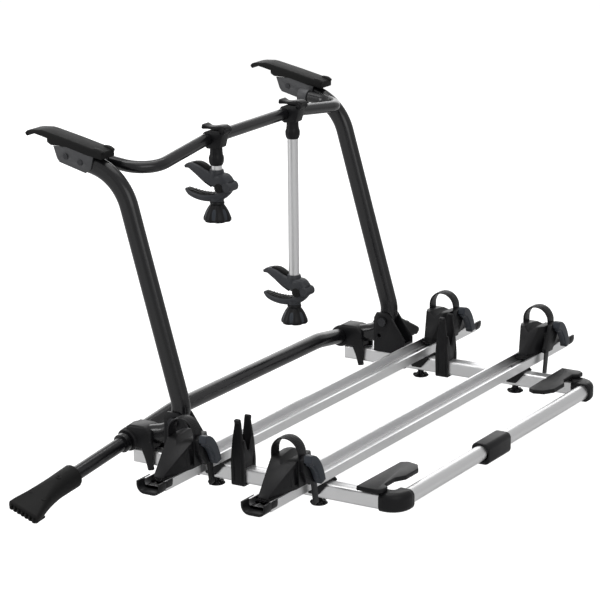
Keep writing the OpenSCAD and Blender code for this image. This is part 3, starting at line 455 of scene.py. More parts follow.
@dataclass(frozen=True)
class Bench:
    """A local frame in which a piece is drawn in millimetres: along, across and up."""

    origin: Vector
    along: Vector
    across: Vector
    up: Vector

    @classmethod
    def facing_ahead(cls, x: float, y: float, z: float) -> "Bench":
        """A bench at a place on the rack: along is ahead, across is to the right."""
        return cls(rack_point(x, y, z), AHEAD, RIGHTWARD, UPWARD)

    @classmethod
    def facing_right(cls, x: float, y: float, z: float) -> "Bench":
        """A bench at a place on the rack: along is to the right, across is ahead."""
        return cls(rack_point(x, y, z), RIGHTWARD, AHEAD, UPWARD)

    def put(self, along: float, across: float, up: float) -> Vector:
        """A place on the bench, in metres in the CAD frame."""
        return self.origin + (self.along * along + self.across * across + self.up * up) / MM_PER_M

    def ring(self, cut: Cut, lean: Vector, shrink: float, push: float) -> list[Vector]:
        """The corner points of one section.

        Args:
            cut: the section.
            lean: unit direction of travel as (along, up).
            shrink: millimetres taken off every side.
            push: millimetres moved in the direction of travel.

        Returns:
            The ring of places, in metres.
        """
        wide, high = cut.wide / 2 - shrink, cut.high / 2 - shrink
        radius = max(0.05, min(wide, high) * cut.corner)
        ring = []
        for quarter, (sx, sy) in enumerate(((1, 1), (-1, 1), (-1, -1), (1, -1))):
            for k in range(CORNER_STEPS + 1):
                angle = math.radians(90 * quarter + 90 / CORNER_STEPS * k)
                c = sx * (wide - radius) + radius * math.cos(angle)
                h = sy * (high - radius) + radius * math.sin(angle)
                ring.append(self.put(cut.along + lean.x * push - lean.y * h, c, cut.up + lean.y * push + lean.x * h))
        return ring


@dataclass
class Piece:
    """A new mesh piece, drawn on a bench and then placed on a body of the CAD model."""

    bench: Bench
    work: bmesh.types.BMesh = field(default_factory=bmesh.new)

    def on(self, bench: Bench) -> "Piece":
        """The same piece, drawn on from another bench."""
        return Piece(bench, self.work)

    def beside(self, across: float) -> "Piece":
        """The same piece, drawn on from some millimetres further across."""
        return self.on(Bench(self.bench.put(0, across, 0), self.bench.along, self.bench.across, self.bench.up))

    def skin(self, rows: list[tuple[float, ...]], steps: int, soft: float) -> None:
        """Skins a row of rounded sections into one closed body with soft ends.

        Args:
            rows: the values of each section, as Cut lists them.
            steps: smooth sections per gap.
            soft: radius of the end edges in millimetres.
        """
        line = Cut.flow([Cut(*row) for row in rows], steps)
        leans = []
        for i in range(len(line)):
            before, after = line[max(i - 1, 0)], line[min(i + 1, len(line) - 1)]
            leans.append(Vector((after.along - before.along, after.up - before.up)).normalized())
        rings = [self.bench.ring(cut, lean, 0.0, 0.0) for cut, lean in zip(line, leans)]
        for at, sign in ((0, -1), (-1, 1)):
            radius = min(soft, 0.45 * min(line[at].wide, line[at].high))
            extra = [self.bench.ring(line[at], leans[at], radius * (1 - math.cos(a)), sign * radius * math.sin(a))
                     for a in END_ANGLES]
            rings = extra[::-1] + rings if at == 0 else rings + extra
        loops = [[self.work.verts.new(place) for place in ring] for ring in rings]
        for low, high in zip(loops, loops[1:]):
            for k in range(len(low)):
                j = (k + 1) % len(low)
                self.work.faces.new((low[k], low[j], high[j], high[k]))
        self.work.faces.new(loops[0][::-1])
        self.work.faces.new(loops[-1])

    def join(self, part: bmesh.types.BMesh) -> None:
        """Adds a part to the piece and frees the part."""
        mesh = bpy.data.meshes.new("part")
        part.to_mesh(mesh)
        part.free()
        self.work.from_mesh(mesh)
        bpy.data.meshes.remove(mesh)

    @staticmethod
    def soften(part: bmesh.types.BMesh, radius: float, segments: int) -> None:
        """Rounds the sharp edges of a closed mesh.

        Args:
            part: the mesh.
            radius: edge radius in millimetres.
            segments: steps across the rounding.
        """
        bmesh.ops.recalc_face_normals(part, faces=part.faces)
        sharp = math.radians(SHARP_EDGE)
        edges = [e for e in part.edges if len(e.link_faces) == 2 and e.calc_face_angle(0.0) > sharp]
        bmesh.ops.bevel(part, geom=edges, offset=radius / MM_PER_M, offset_type="OFFSET", segments=segments,
                        profile=0.5, affect="EDGES", material=-1, clamp_overlap=True)

    def slab(self, outline: list[tuple[float, float]], low: float, high: float, radius: float,
             segments: int = 2) -> None:
        """Extrudes an outline across the bench and rounds its edges.

        Args:
            outline: corner points as (along, up) in millimetres.
            low: first face, millimetres across.
            high: second face, millimetres across.
            radius: edge radius in millimetres.
            segments: steps across the rounding.
        """
        part = bmesh.new()
        face = part.faces.new([part.verts.new(self.bench.put(a, low, u)) for a, u in outline])
        grown = bmesh.ops.extrude_face_region(part, geom=[face])
        moved = [v for v in grown["geom"] if isinstance(v, bmesh.types.BMVert)]
        bmesh.ops.translate(part, verts=moved, vec=self.bench.across * ((high - low) / MM_PER_M))
        self.soften(part, radius, segments)
        self.join(part)

    def lathe(self, centre: Vector, axis: Vector, profile: list[tuple[float, float]], steps: int,
              lobes: int = 0, depth: float = 0.0, smooth: float = 0.0) -> None:
        """Turns a profile around an axis, with lobes if asked.

        Args:
            centre: a point on the axis, in metres.
            axis: the axis's unit direction.
            profile: (radius, height) pairs in millimetres; both ends are closed across the axis.
            steps: parts of a full turn.
            lobes: number of grip lobes.
            depth: how deep the hollows between lobes go, as a share of the radius.
            smooth: corner radius of the profile in millimetres.
        """
        part = bmesh.new()
        side = axis.orthogonal().normalized()
        closed = [(0, profile[0][1]), *profile, (0, profile[-1][1])]
        verts = [part.verts.new(centre + (side * r + axis * h) / MM_PER_M) for r, h in closed]
        edges = [part.edges.new(pair) for pair in zip(verts, verts[1:])]
        if smooth:
            bmesh.ops.bevel(part, geom=verts[1:-1], offset=smooth / MM_PER_M, offset_type="OFFSET", segments=3,
                            profile=0.5, affect="VERTICES", material=-1, clamp_overlap=True)
            edges = list(part.edges)
        bmesh.ops.spin(part, geom=list(part.verts) + edges, cent=centre, axis=axis, angle=2 * math.pi, steps=steps,
                       use_merge=True)
        bmesh.ops.remove_doubles(part, verts=part.verts, dist=MERGE_DIST)
        other = axis.cross(side)
        top = max(h for _, h in profile)
        tall = top - min(h for _, h in profile)
        for vert in part.verts if lobes else ():
            arm = vert.co - centre
            height = arm.dot(axis)
            arm -= axis * height
            wave = 0.5 - 0.5 * math.cos(lobes * math.atan2(arm.dot(other), arm.dot(side)))
            share = min(1.0, max(0.0, (top / MM_PER_M - height) / (LOBE_RISE * tall / MM_PER_M)))
            vert.co -= arm * depth * wave ** 3 * share
        self.join(part)

    def finish(self, name: str, look: Finish, body: str, smooth_angle: float = 35.0) -> bpy.types.Object:
        """Turns the drawing into an object that rides on a body, and frees the drawing.

        Args:
            name: the object's name.
            look: the finish it gets.
            body: the CAD body it moves with.
            smooth_angle: edges flatter than this many degrees are shaded smooth.

        Returns:
            The new object.
        """
        work = self.work
        bmesh.ops.remove_doubles(work, verts=work.verts, dist=MERGE_DIST)
        bmesh.ops.recalc_face_normals(work, faces=work.faces)
        limit = math.radians(smooth_angle)
        for edge in work.edges:
            edge.smooth = len(edge.link_faces) == 2 and edge.calc_face_angle(0.0) < limit
        for face in work.faces:
            face.smooth = True
        thing = add_object(name, work)
        thing.data.materials.append(look.build())
        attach(thing, body)
        LOG.info("%s: %d faces on %s", name, len(thing.data.polygons), body)
        return thing


@dataclass
class FrameHolder:
    """The swing-down holder that grips a bicycle frame: clamp, lever, jaws and knob."""

    side: Side
    tube_l: float
    holder_x: float = 142.0
    tube_y: float = -23.0
    top_z: float = 534.0
    jaw_w: float = 30.0
    knob_d: float = 56.0
    knob_drop: float = 62.3
    pin: tuple[float, float] = (-31.1, -29.8)
    lever_pin: tuple[float, float] = (-22.0, 70.0)

    @property
    def word(self) -> str:
        """The holder's name in the CAD nodes."""
        return "short" if self.side is Side.LEFT else "long"

    def bench(self, z: float) -> Bench:
        """A frame on the holder's tube at a height: along is ahead, across is to the right."""
        return Bench.facing_ahead(self.side.value * self.holder_x, self.tube_y, z)

    def upper_jaw(self) -> None:
        """The fixed jaw, an arched arm with a socket for the tube and a black ridge."""
        bench = self.bench(self.top_z - self.tube_l)
        piece = Piece(bench)
        piece.skin([
            (68, 2, 18, 7), (57, 4.5, 24, 13), (40, -1.5, 28, 20), (20, -12, self.jaw_w, 23),
            (0, -19, self.jaw_w, 28), (-17, -21, self.jaw_w, 32), (-28, -26, 28, 27, 0.9)], 5, 3.0)
        piece.lathe(bench.put(0, 0, 0), bench.up, [(15.5, -16), (15, -4), (13.6, 1.5)], 32, smooth=0.8)
        piece.lathe(bench.put(self.pin[0], -self.jaw_w / 2 - 1, self.pin[1]), bench.across,
                    [(8.6, 0), (9.8, 1.5), (9.8, self.jaw_w + 0.5), (8.6, self.jaw_w + 2)], 32)
        thing = piece.finish(f"{self.word}_upper_jaw_arm", SLATE_PLASTIC, f"{self.word}_holder")
        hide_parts(f"{self.word}_upper_jaw")
        ridge = Piece(bench)
        ridge.skin([(50, 10.5, 12, 5), (36, 9.5, 15, 8), (22, 3.5, 15, 8), (14, -1, 13, 5)], 4, 1.5)
        ridge.skin([(54, -3.5, 17, 3), (38, -12.5, 21, 4), (22, -23.5, 22, 4), (8, -31.5, 20, 4)], 4, 1.2)
        for across in (-self.jaw_w / 2 - 1.6, self.jaw_w / 2 - 0.4):
            ridge.lathe(bench.put(-13, across, -33), bench.across, [(8.5, 0), (9.5, 1), (9.5, 2)], 28)
            ridge.lathe(bench.put(-13, across - 0.6, -33), bench.across, [(3.6, 0), (4.2, 0.8), (4.2, 3.2)], 6)
        ridge.finish(f"{self.word}_upper_jaw_pads", RUBBER, f"{self.word}_holder")

    def lower_jaw(self) -> None:
        """The swinging jaw, a shallow spoon with a rubber pad and hinge knuckle."""
        bench = self.bench(self.top_z - self.tube_l)
        piece = Piece(bench)
        piece.skin([
            (68, -44.5, 17, 6), (57, -50.5, 25, 10), (38, -55, 29, 12), (16, -56, self.jaw_w, 13), (-6, -52, 22, 16),
            (-20, -43, 17.6, 17), (-31, -31, 17.6, 17, 0.9)], 5, 3.0)
        piece.lathe(bench.put(0, 0, 0), bench.up, [(13, -62), (14, -60), (14, -54)], 32)
        thing = piece.finish(f"{self.word}_lower_jaw_arm", SLATE_PLASTIC, f"{self.word}_lower_jaw_body")
        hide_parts(f"{self.word}_lower_jaw")
        pad = Piece(bench)
        pad.skin([(64, -43.5, 15, 3), (54, -47.2, 21, 4), (38, -50, 24, 5), (18, -50.5, 25, 5), (2, -47.5, 22, 5)],
                 4, 1.2)
        for along in range(12, 56, 7):
            up = -48.2 + 0.0035 * (along - 26) ** 2
            pad.skin([(along - 1.2, up, 20, 2.4), (along + 1.2, up, 20, 2.4)], 1, 0.8)
        pad.finish(f"{self.word}_lower_jaw_pad", RUBBER, f"{self.word}_lower_jaw_body")

    def knob(self) -> None:
        """The bell-shaped hand knob with six grip lobes and grey arches."""
        bench = self.bench(self.top_z - self.tube_l - self.knob_drop)
        r = self.knob_d / 2
        piece = Piece(bench)
        piece.lathe(bench.origin, bench.up, [
            (13.5, 0), (14.6, -1.5), (14.6, -4.5), (13.2, -5.5), (14.8, -7), (18.5, -12), (22.5, -19), (25.5, -26),
            (r - 0.6, -31), (r, -33), (r, -37), (r - 1.6, -39), (8, -39), (7, -37.8)], 96, 6, 0.13)
        piece.lathe(bench.origin, bench.up, [(4, 17), (4, -2)], 24)
        thing = piece.finish(f"{self.word}_hand_knob", BLACK_PLASTIC, f"{self.word}_knob_body", 40.0)
        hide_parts(f"{self.word}_knob")
        arches = Piece(bench)
        side = bench.up.orthogonal().normalized()
        other = bench.up.cross(side)
        for k in range(6):
            angle = math.radians(60 * k + 30)
            out = side * math.cos(angle) + other * math.sin(angle)
            leaf = Bench(bench.origin, out, bench.up.cross(out), bench.up)
            arches.on(leaf).skin([(17.2, -14.5, 5, 2.4), (20.0, -20, 11, 2.6), (22.4, -27, 14, 2.8),
                                  (24.0, -34, 15, 3)], 3, 0.8)
        arches.finish(f"{self.word}_knob_arches", BUCKLE_PLASTIC, f"{self.word}_knob_body")

    def clamp(self) -> None:
        """The clamp's barrel around the tube, ring around the bar and lever ears."""
        bench = self.bench(self.top_z)
        piece = Piece(bench)
        piece.lathe(bench.origin, bench.up, [
            (11.8, 0), (13.4, 2.5), (15, 8), (15.2, 15), (14.2, 19), (13.2, 20.5), (13.2, 22.5), (12.6, 26),
            (12.2, 38)], 64, 8, 0.05)
        piece.slab([
            (-15, 36), (-19, 50), (-22, 61), (-24, 68), (-20, 70.5), (8, 70.5), (20, 66), (26, 58), (25.5, 46),
            (20, 38), (13, 33)], -13.5, 13.5, 3.0, 3)
        along, up = self.lever_pin
        for across in (-13.5, 6.9):
            piece.lathe(bench.put(along, across, up), bench.across, [(6, 0), (7, 1), (7, 5.6), (6, 6.6)], 24)
        thing = piece.finish(f"{self.word}_clamp_body", BLACK_PLASTIC, f"{self.word}_holder")
        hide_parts(f"{self.word}_clamp")

    def lever(self) -> None:
        """The cam lever that lies over the bar, waisted and thicker at both ends."""
        bench = self.bench(self.top_z)
        piece = Piece(bench)
        piece.skin([
            (-26, 75, 22, 7), (-20, 76, 26, 10), (-8, 75.5, 26, 8.5), (4, 74.5, 20, 6), (14, 74.5, 20, 6),
            (21, 75.5, 24, 9), (24, 76, 25, 10)], 4, 2.0)
        along, up = self.lever_pin
        piece.lathe(bench.put(along, -6.4, up), bench.across, [(6.2, 0), (6.2, 12.8)], 24)
        piece.lathe(bench.put(along, -14.4, up), bench.across, [(2.4, 0), (3, 0.8), (3, 28), (2.4, 28.8)], 20)
        thing = piece.finish(f"{self.word}_cam_lever", BLACK_PLASTIC, f"{self.word}_lever_body")
        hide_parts(f"{self.word}_lever")

    def build(self) -> None:
        """Builds the whole holder."""
        self.clamp()
        self.lever()
        self.upper_jaw()
        self.lower_jaw()
        self.knob()


@dataclass
class WheelHolder:
    """The strap and ratchet lever of one wheel holder."""

    side: Side
    row: Row
    middle_x: float = 505.0
    chock_w: float = 54.0
    strap_w: float = 26.0
    strap_t: float = 3.0
    lug_t: float = 9.0
    lever_w: float = 14.0
    lever_gap: float = 0.5
    lever_pin_z: float = 48.0
    base_z: float = 56.0
    top_z: float = 90.0

    @property
    def word(self) -> str:
        """Row and side as the CAD nodes use them."""
        return f"{self.row.value}_{self.side.word}"

    def strap(self) -> None:
        """The loop over the block and the loose tail below the lug."""
        sign = self.side.value
        bench = Bench.facing_ahead(sign * self.middle_x, self.row.middle_y, self.base_z)
        r = self.chock_w / 2 + self.strap_t / 2
        rise = self.top_z - self.strap_t - self.chock_w / 2
        arch = [(-r * math.cos(math.radians(a)), rise + r * math.sin(math.radians(a))) for a in range(0, 181, 10)]
        piece = Piece(bench)
        piece.skin([(*place, self.strap_w, self.strap_t, 0.7) for place in ((-r, 2), *arch, (r, 2))], 1, 0.6)
        for a in range(20, 161, 7):
            c, s = math.cos(math.radians(a)), math.sin(math.radians(a))
            lean = Bench(bench.put(-r * c, 0, rise + r * s), Vector((0, s, c)), RIGHTWARD, Vector((0, -c, s)))
            piece.on(lean).skin([(-0.9, 1.4, self.strap_w - 9, 1.3), (0.9, 1.4, self.strap_w - 9, 1.3)], 1, 0.5)
        tail_y = self.row.middle_y - self.chock_w / 2 - self.strap_t - self.lug_t / 2
        tail = Bench(rack_point(sign * self.middle_x, tail_y, self.base_z), Vector((sign, 0, 0)), AHEAD, UPWARD)
        piece.on(tail).skin([(-30.2, 0, 3, 18, 0.7), (-34, -23, 3, 17.5, 0.7), (-37.8, -44.5, 3, 17, 0.9)], 4, 1.3)
        thing = piece.finish(f"strap_loop_{self.word}", STRAP_PLASTIC, f"holder_{self.word}")
        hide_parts(f"strap_{self.word}")

    def ratchet(self) -> None:
        """The arched lever beside the block, which runs down from its pin."""
        lever_y = self.row.middle_y - self.chock_w / 2 - self.strap_t - self.lug_t - self.lever_gap - self.lever_w / 2
        bench = Bench.facing_right(self.side.value * self.middle_x, lever_y, self.base_z + self.lever_pin_z)
        piece = Piece(bench)
        plate = ((-9, 6.5, 15), (0, 4.5, 17), (9, -1, 18), (17, -10, 18), (24, -21, 18), (29.5, -33, 17.5),
                 (33.5, -45, 17))
        piece.skin([(along, up, 15.5, high, 0.25) for along, up, high in plate], 3, 1.8)
        piece.skin([(along - 5, up - 4, 11, 14, 0.4) for along, up, _ in plate[1:-1]], 3, 1.8)
        piece.lathe(bench.put(0, -7.4, 0), AHEAD, [(5, 0), (6, 1), (6, 3)], 24)
        thing = piece.finish(f"ratchet_arch_{self.word}", BUCKLE_PLASTIC, f"ratchet_lever_{self.word}")
        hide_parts(f"ratchet_{self.word}")

    def build(self) -> None:
        """Builds strap and lever."""
        self.strap()
        self.ratchet()


@dataclass
class Foot:
    """The rubber foot on the end of a foot arm, flared and rolled towards its toe."""

    side: Side
    start_x: float = 582.0
    roll: float = 18.0
    neck_d: float = 46.0
    toe_w: float = 70.0
    rib_pitch: float = 9.0

    def bench(self) -> Bench:
        """A frame at the foot's neck: along is outward down the arm, up is away from the ground."""
        sign = self.side.value
        out = crossbar_direction(Side.RIGHT)
        level = (AHEAD - out * out.y).normalized()
        rise = out.cross(level)
        turn = math.radians(self.roll)
        across = level * math.cos(turn) + rise * math.sin(turn)
        up = rise * math.cos(turn) - level * math.sin(turn)
        axes = [Vector((sign * v.x, v.y, v.z)) for v in (out, across, up)]
        return Bench(crossbar_point(self.side, self.start_x), *axes)

    def build(self) -> None:
        """Builds the foot body and its ribbed sole."""
        bench = self.bench()
        piece = Piece(bench)
        piece.skin([
            (2, 0, self.neck_d, self.neck_d, 0.96), (30, 0, self.neck_d - 1, self.neck_d - 1, 0.96),
            (58, -0.5, 44, 42, 0.9), (86, -2.5, 48, 36, 0.8), (110, -5.5, 57, 29, 0.75), (128, -8, 66, 24, 0.7),
            (140, -9.5, self.toe_w, 20, 0.7)], 5, 3.5)
        for along, across, top in ((46, 0, 21.4), (104, 15, 9.6), (104, -15, 9.6)):
            piece.lathe(bench.put(along, across, top), bench.up,
                        [(4.6, -4), (5.2, -2), (5.2, 0.6), (4.6, 1.4), (2.6, 1.4), (2.4, -0.6)], 20)
        thing = piece.finish(f"foot_body_{self.side.word}", RUBBER, f"foot_{self.side.word}_slide")
        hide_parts(f"foot_{self.side.word}")
        sole = Piece(bench)
        for k in range(-3, 4):
            sole.beside(self.rib_pitch * k).skin([(112, -20, 4.6, 5), (132, -19.8, 4.6, 5), (143, -15, 4.6, 6),
                                                  (145.5, -8, 4.6, 5)], 4, 1.2)
        sole.finish(f"foot_sole_{self.side.word}", RUBBER, f"foot_{self.side.word}_slide")


@dataclass
class Junction:
    """The casting that joins an upright to the lower crossbar and hooks over the rail's nose."""

    side: Side
    width: float = 44.0
    collar_d: float = 46.0
    claw_t: float = 6.2
    claw_in: float = 3.2

    def build(self) -> None:
        """Builds the body, the collar around the crossbar and the two claws."""
        bench = Bench.facing_ahead(self.side.value * RAIL_X, 0, 0)
        half = self.width / 2
        piece = Piece(bench)
        outline = [(-45.5, 30.4), (-45.8, 67), (-34, 75.5), (-26, 77), (4, 77), (13, 72.5), (16, 59), (16, 30.4)]
        piece.slab(outline, -half, half, 5.5, 4)
        r = self.collar_d / 2
        piece.lathe(crossbar_point(self.side, RAIL_X), crossbar_direction(self.side), [
            (r - 2.5, -half - 1), (r - 0.3, -half + 1.5), (r, -half + 4), (r, half - 8), (r - 1.5, half - 6.5),
            (r - 1.5, half - 5), (r, half - 3.5), (r - 0.3, half - 1), (r - 2.5, half + 1)], 48)
        w = self.claw_t
        for t in (-1, 1):
            piece.beside(t * (half - self.claw_in)).skin([
                (-34, 46, w, 26, 0.4), (-37, 33, w, 27, 0.4), (-39.5, 18, w, 20, 0.5), (-41, 4, w, 14, 0.5),
                (-43, -6, w, 13, 0.6)], 4, 2.2)
        thing = piece.finish(f"junction_casting_{self.side.word}", CASTING, "mast")
        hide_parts(f"junction_{self.side.word}")


@dataclass
class WingKnob:
    """The small round knob under a rail that clamps a tray."""

    side: Side
    row: Row
    radius: float = 17.0

    def build(self) -> None:
        """Builds stem and lobed head."""
        r = self.radius
        piece = Piece(Bench.facing_ahead(self.side.value * RAIL_X, self.row.middle_y, 0))
        piece.lathe(piece.bench.origin, -UPWARD, [
            (7.2, 0.1), (7.5, 0.8), (6.4, 3.5), (6.6, 7.5), (9.5, 9.4), (r - 1.5, 10.4), (r, 12.2), (r, 14.4),
            (r - 2.2, 16.0)], 60, 6, 1.2)
        name = f"{self.row.value}_{self.side.word}"
        thing = piece.finish(f"clamp_knob_{name}", BLACK_PLASTIC, f"wing_knob_{name}")
        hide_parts(f"tray_knob_{name}")


@dataclass
class TrayEnd:
    """The two round-bottomed caps on one end of the trays."""

    side: Side
    tray_half: float = 605.0
    grip: float = 21.0
    beyond: float = 22.0
    gap: float = 0.3
    lap: float = 2.0
    tray_w: float = 48.0
    floor_z: float = 35.0
    tray_h: float = 18.0

    def outline(self, out: float, drop: float, radius: float) -> list[tuple[float, float]]:
        """One open U from lip to lip, as points across and up.

        Args:
            out: half the width in millimetres.
            drop: how far the bottom lies below the tray's floor.
            radius: radius of the two lower corners.

        Returns:
            The points in order from the right lip to the left one.
        """
        points = [(out, self.floor_z + self.tray_h + 1.0)]
        low = self.floor_z - drop
        for a in range(0, 91, 15):
            c, s = math.cos(math.radians(a)), math.sin(math.radians(a))
            points.append((out - radius + radius * c, low + radius - radius * s))
        return points + [(-y, z) for y, z in reversed(points)]

    def build(self) -> None:
        """Builds the caps of the inner and the outer tray as one piece."""
        sign = self.side.value
        piece = Piece(Bench.facing_ahead(0, 0, 0))
        half = self.tray_w / 2
        rim = self.outline(half + 2.2, 5.0, 17.0) + self.outline(half - 2.4, -1.2, 9.0)[::-1]
        thin = self.outline(half + 2.0, 4.6, 17.0) + self.outline(half + 0.1, 0.1, 9.0)[::-1]
        start, edge, end = (sign * (self.tray_half + v) for v in (-self.grip, self.gap, self.beyond))
        for row in Row:
            cap = piece.on(Bench.facing_ahead(0, row.middle_y, 0))
            cap.slab(rim, edge, end, 0.9)
            cap.slab(thin, start, edge + sign * self.lap, 0.6)
        thing = piece.finish(f"tray_ends_{self.side.word}", BLACK_PLASTIC, "platform")
        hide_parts("tray_end_caps")


@dataclass
class HookCover:
    """The rubber cover of a top hook: a straight back, a kink near the front and a thin tip that turns down."""

    side: Side
    rear_y: float = 51.0
    base_z: float = 588.97
    length: float = 178.0
    height: float = 46.0
    width: float = 44.0
    lip_in: float = 5.0
    rib_pitch: float = 9.0

    def build(self) -> None:
        """Builds the cover, the raised lips at its rear end and the ribs under its tip."""
        bench = Bench.facing_ahead(self.side.value * RAIL_X, self.rear_y, self.base_z)
        shares = [(0, 0), (0, 0.3), (0.1, 0.42), (0.4, 0.68), (0.72, 0.93), (0.78, 0.96), (0.9, 0.93), (0.97, 0.88),
                  (1, 0.76), (0.97, 0.62), (0.955, 0.74), (0.89, 0.78), (0.71, 0.64), (0.71, 0.48), (0.66, 0.37),
                  (0.465, 0.37), (0.18, 0.11), (0.13, 0.09)]
        outline = [(a * self.length, u * self.height) for a, u in shares]
        piece = Piece(bench)
        half = self.width / 2
        piece.slab(outline, -half, half, 2.2, 3)
        for t in (-1, 1):
            piece.beside(t * (half - self.lip_in)).skin([(1.0, 12, 10, 8, 0.6), (8, 15.5, 10, 9, 0.6),
                                                         (18, 17.5, 9, 7, 0.7)], 3, 2.0)
        for k in range(4):
            piece.beside((k - 1.5) * self.rib_pitch).skin([(131, 29.5, 3.2, 4), (146, 33, 3.2, 4),
                                                           (158, 35, 3.2, 3.4)], 3, 1.0)
        thing = piece.finish(f"hook_rubber_{self.side.word}", RUBBER, "mast", 34.0)
        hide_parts(f"hook_cover_{self.side.word}")


@dataclass
class RailClip:
    """The tall two-finger clip that stands on a side rail."""

    side: Side
    back: float = 241.0
    rail_w: float = 30.0
    wall: float = 6.0
    height: float = 126.0
    gap: float = 0.05
    rib_out: float = 9.0
    web_t: float = 4.0

    def build(self) -> None:
        """Builds both tapered fingers, the strap under the rail and the two webs between the fingers."""
        bench = Bench.facing_right(self.side.value * RAIL_X, -self.back, 0)
        reach = self.rail_w / 2 + self.wall / 2 + self.gap
        piece = Piece(bench)
        for t in (-1, 1):
            piece.skin([
                (t * reach, -1.5, 29, 6, 0.35), (t * reach, 22, 29.5, 6, 0.35), (t * (reach + 0.5), 44, 29, 7, 0.4),
                (t * (reach + 0.2), 80, 23, 6.6, 0.5), (t * (reach - 0.8), 106, 16, 5.6, 0.5),
                (t * (reach - 1.2), 116, 14, 5.6, 0.7), (t * (reach + 0.4), self.height - 3, 13.5, 9.0, 0.9)], 4, 2.5)
            for k in (-1, 1):
                piece.beside(self.rib_out * k).skin([
                    (t * (reach + 3.2), 4, 3.2, 2.4), (t * (reach + 3.8), 42, 3.2, 2.4),
                    (t * (reach + 3.2), 66, 2.4, 1.8)], 4, 0.8)
        piece.skin([(-reach - 1, -2.2, 29, 4.2, 0.5), (reach + 1, -2.2, 29, 4.2, 0.5)], 4, 1.5)
        low = self.rail_w + 0.4
        web = [(-reach, low), (reach, low), (reach, 84), (reach - 4.5, 86), (4, 62), (-4, 62), (-reach + 4.5, 86),
               (-reach, 84)]
        for rear in (-13.2, 9.2):
            piece.slab(web, rear, rear + self.web_t, 1.2)
        thing = piece.finish(f"clip_fingers_{self.side.word}", BLACK_PLASTIC, "platform")
        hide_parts(f"rail_clip_{self.side.word}")


@dataclass
class MouldedCopies:
    """Softened copies of the moulded CAD parts, whose edges are rounded as on the real mouldings."""

    nodes: dict[str, bpy.types.Object]
    bodies: dict[str, str]
    smooth_angle: float = 32.0
    flat_angle: float = 0.8
    weld: float = 2e-5
    sliver: float = 1e-5

    # Beginning of the node's name, finish, edge radius in millimetres and steps across the rounding
    PLAN = (
        ("chock", BLACK_PLASTIC, 1.6, 2), ("rear_sleeve", BLACK_PLASTIC, 3.0, 3),
        ("corner_elbow", BLACK_PLASTIC, 2.5, 3), ("corner_pad", BLACK_PLASTIC, 2.5, 3),
        ("tray_saddles", BLACK_PLASTIC, 1.0, 2), ("hinge_bracket", CASTING, 1.2, 2),
        ("hook_bracket", STEEL_PLATE, 0.5, 2),
    )

    def copy(self, node: bpy.types.Object) -> Piece:
        """A merged copy of a CAD node's mesh, with coplanar triangles joined."""
        piece = Piece(Bench.facing_ahead(0, 0, 0))
        part = piece.work
        part.from_mesh(node.data)
        bmesh.ops.transform(part, matrix=node.matrix_world, verts=part.verts)
        bmesh.ops.remove_doubles(part, verts=part.verts, dist=self.weld)
        bmesh.ops.dissolve_degenerate(part, dist=self.sliver, edges=part.edges)
        bmesh.ops.dissolve_limit(part, angle_limit=math.radians(self.flat_angle), verts=part.verts, edges=part.edges)
        return piece

    def build(self) -> None:
        """Makes every softened copy."""
        for name, node in self.nodes.items():
            for start, look, radius, segments in self.PLAN:
                if name.startswith(start):
                    piece = self.copy(node)
                    piece.soften(piece.work, radius, segments)
                    thing = piece.finish(f"{name}_moulded", look, self.bodies[name], self.smooth_angle)
                    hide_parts(name)


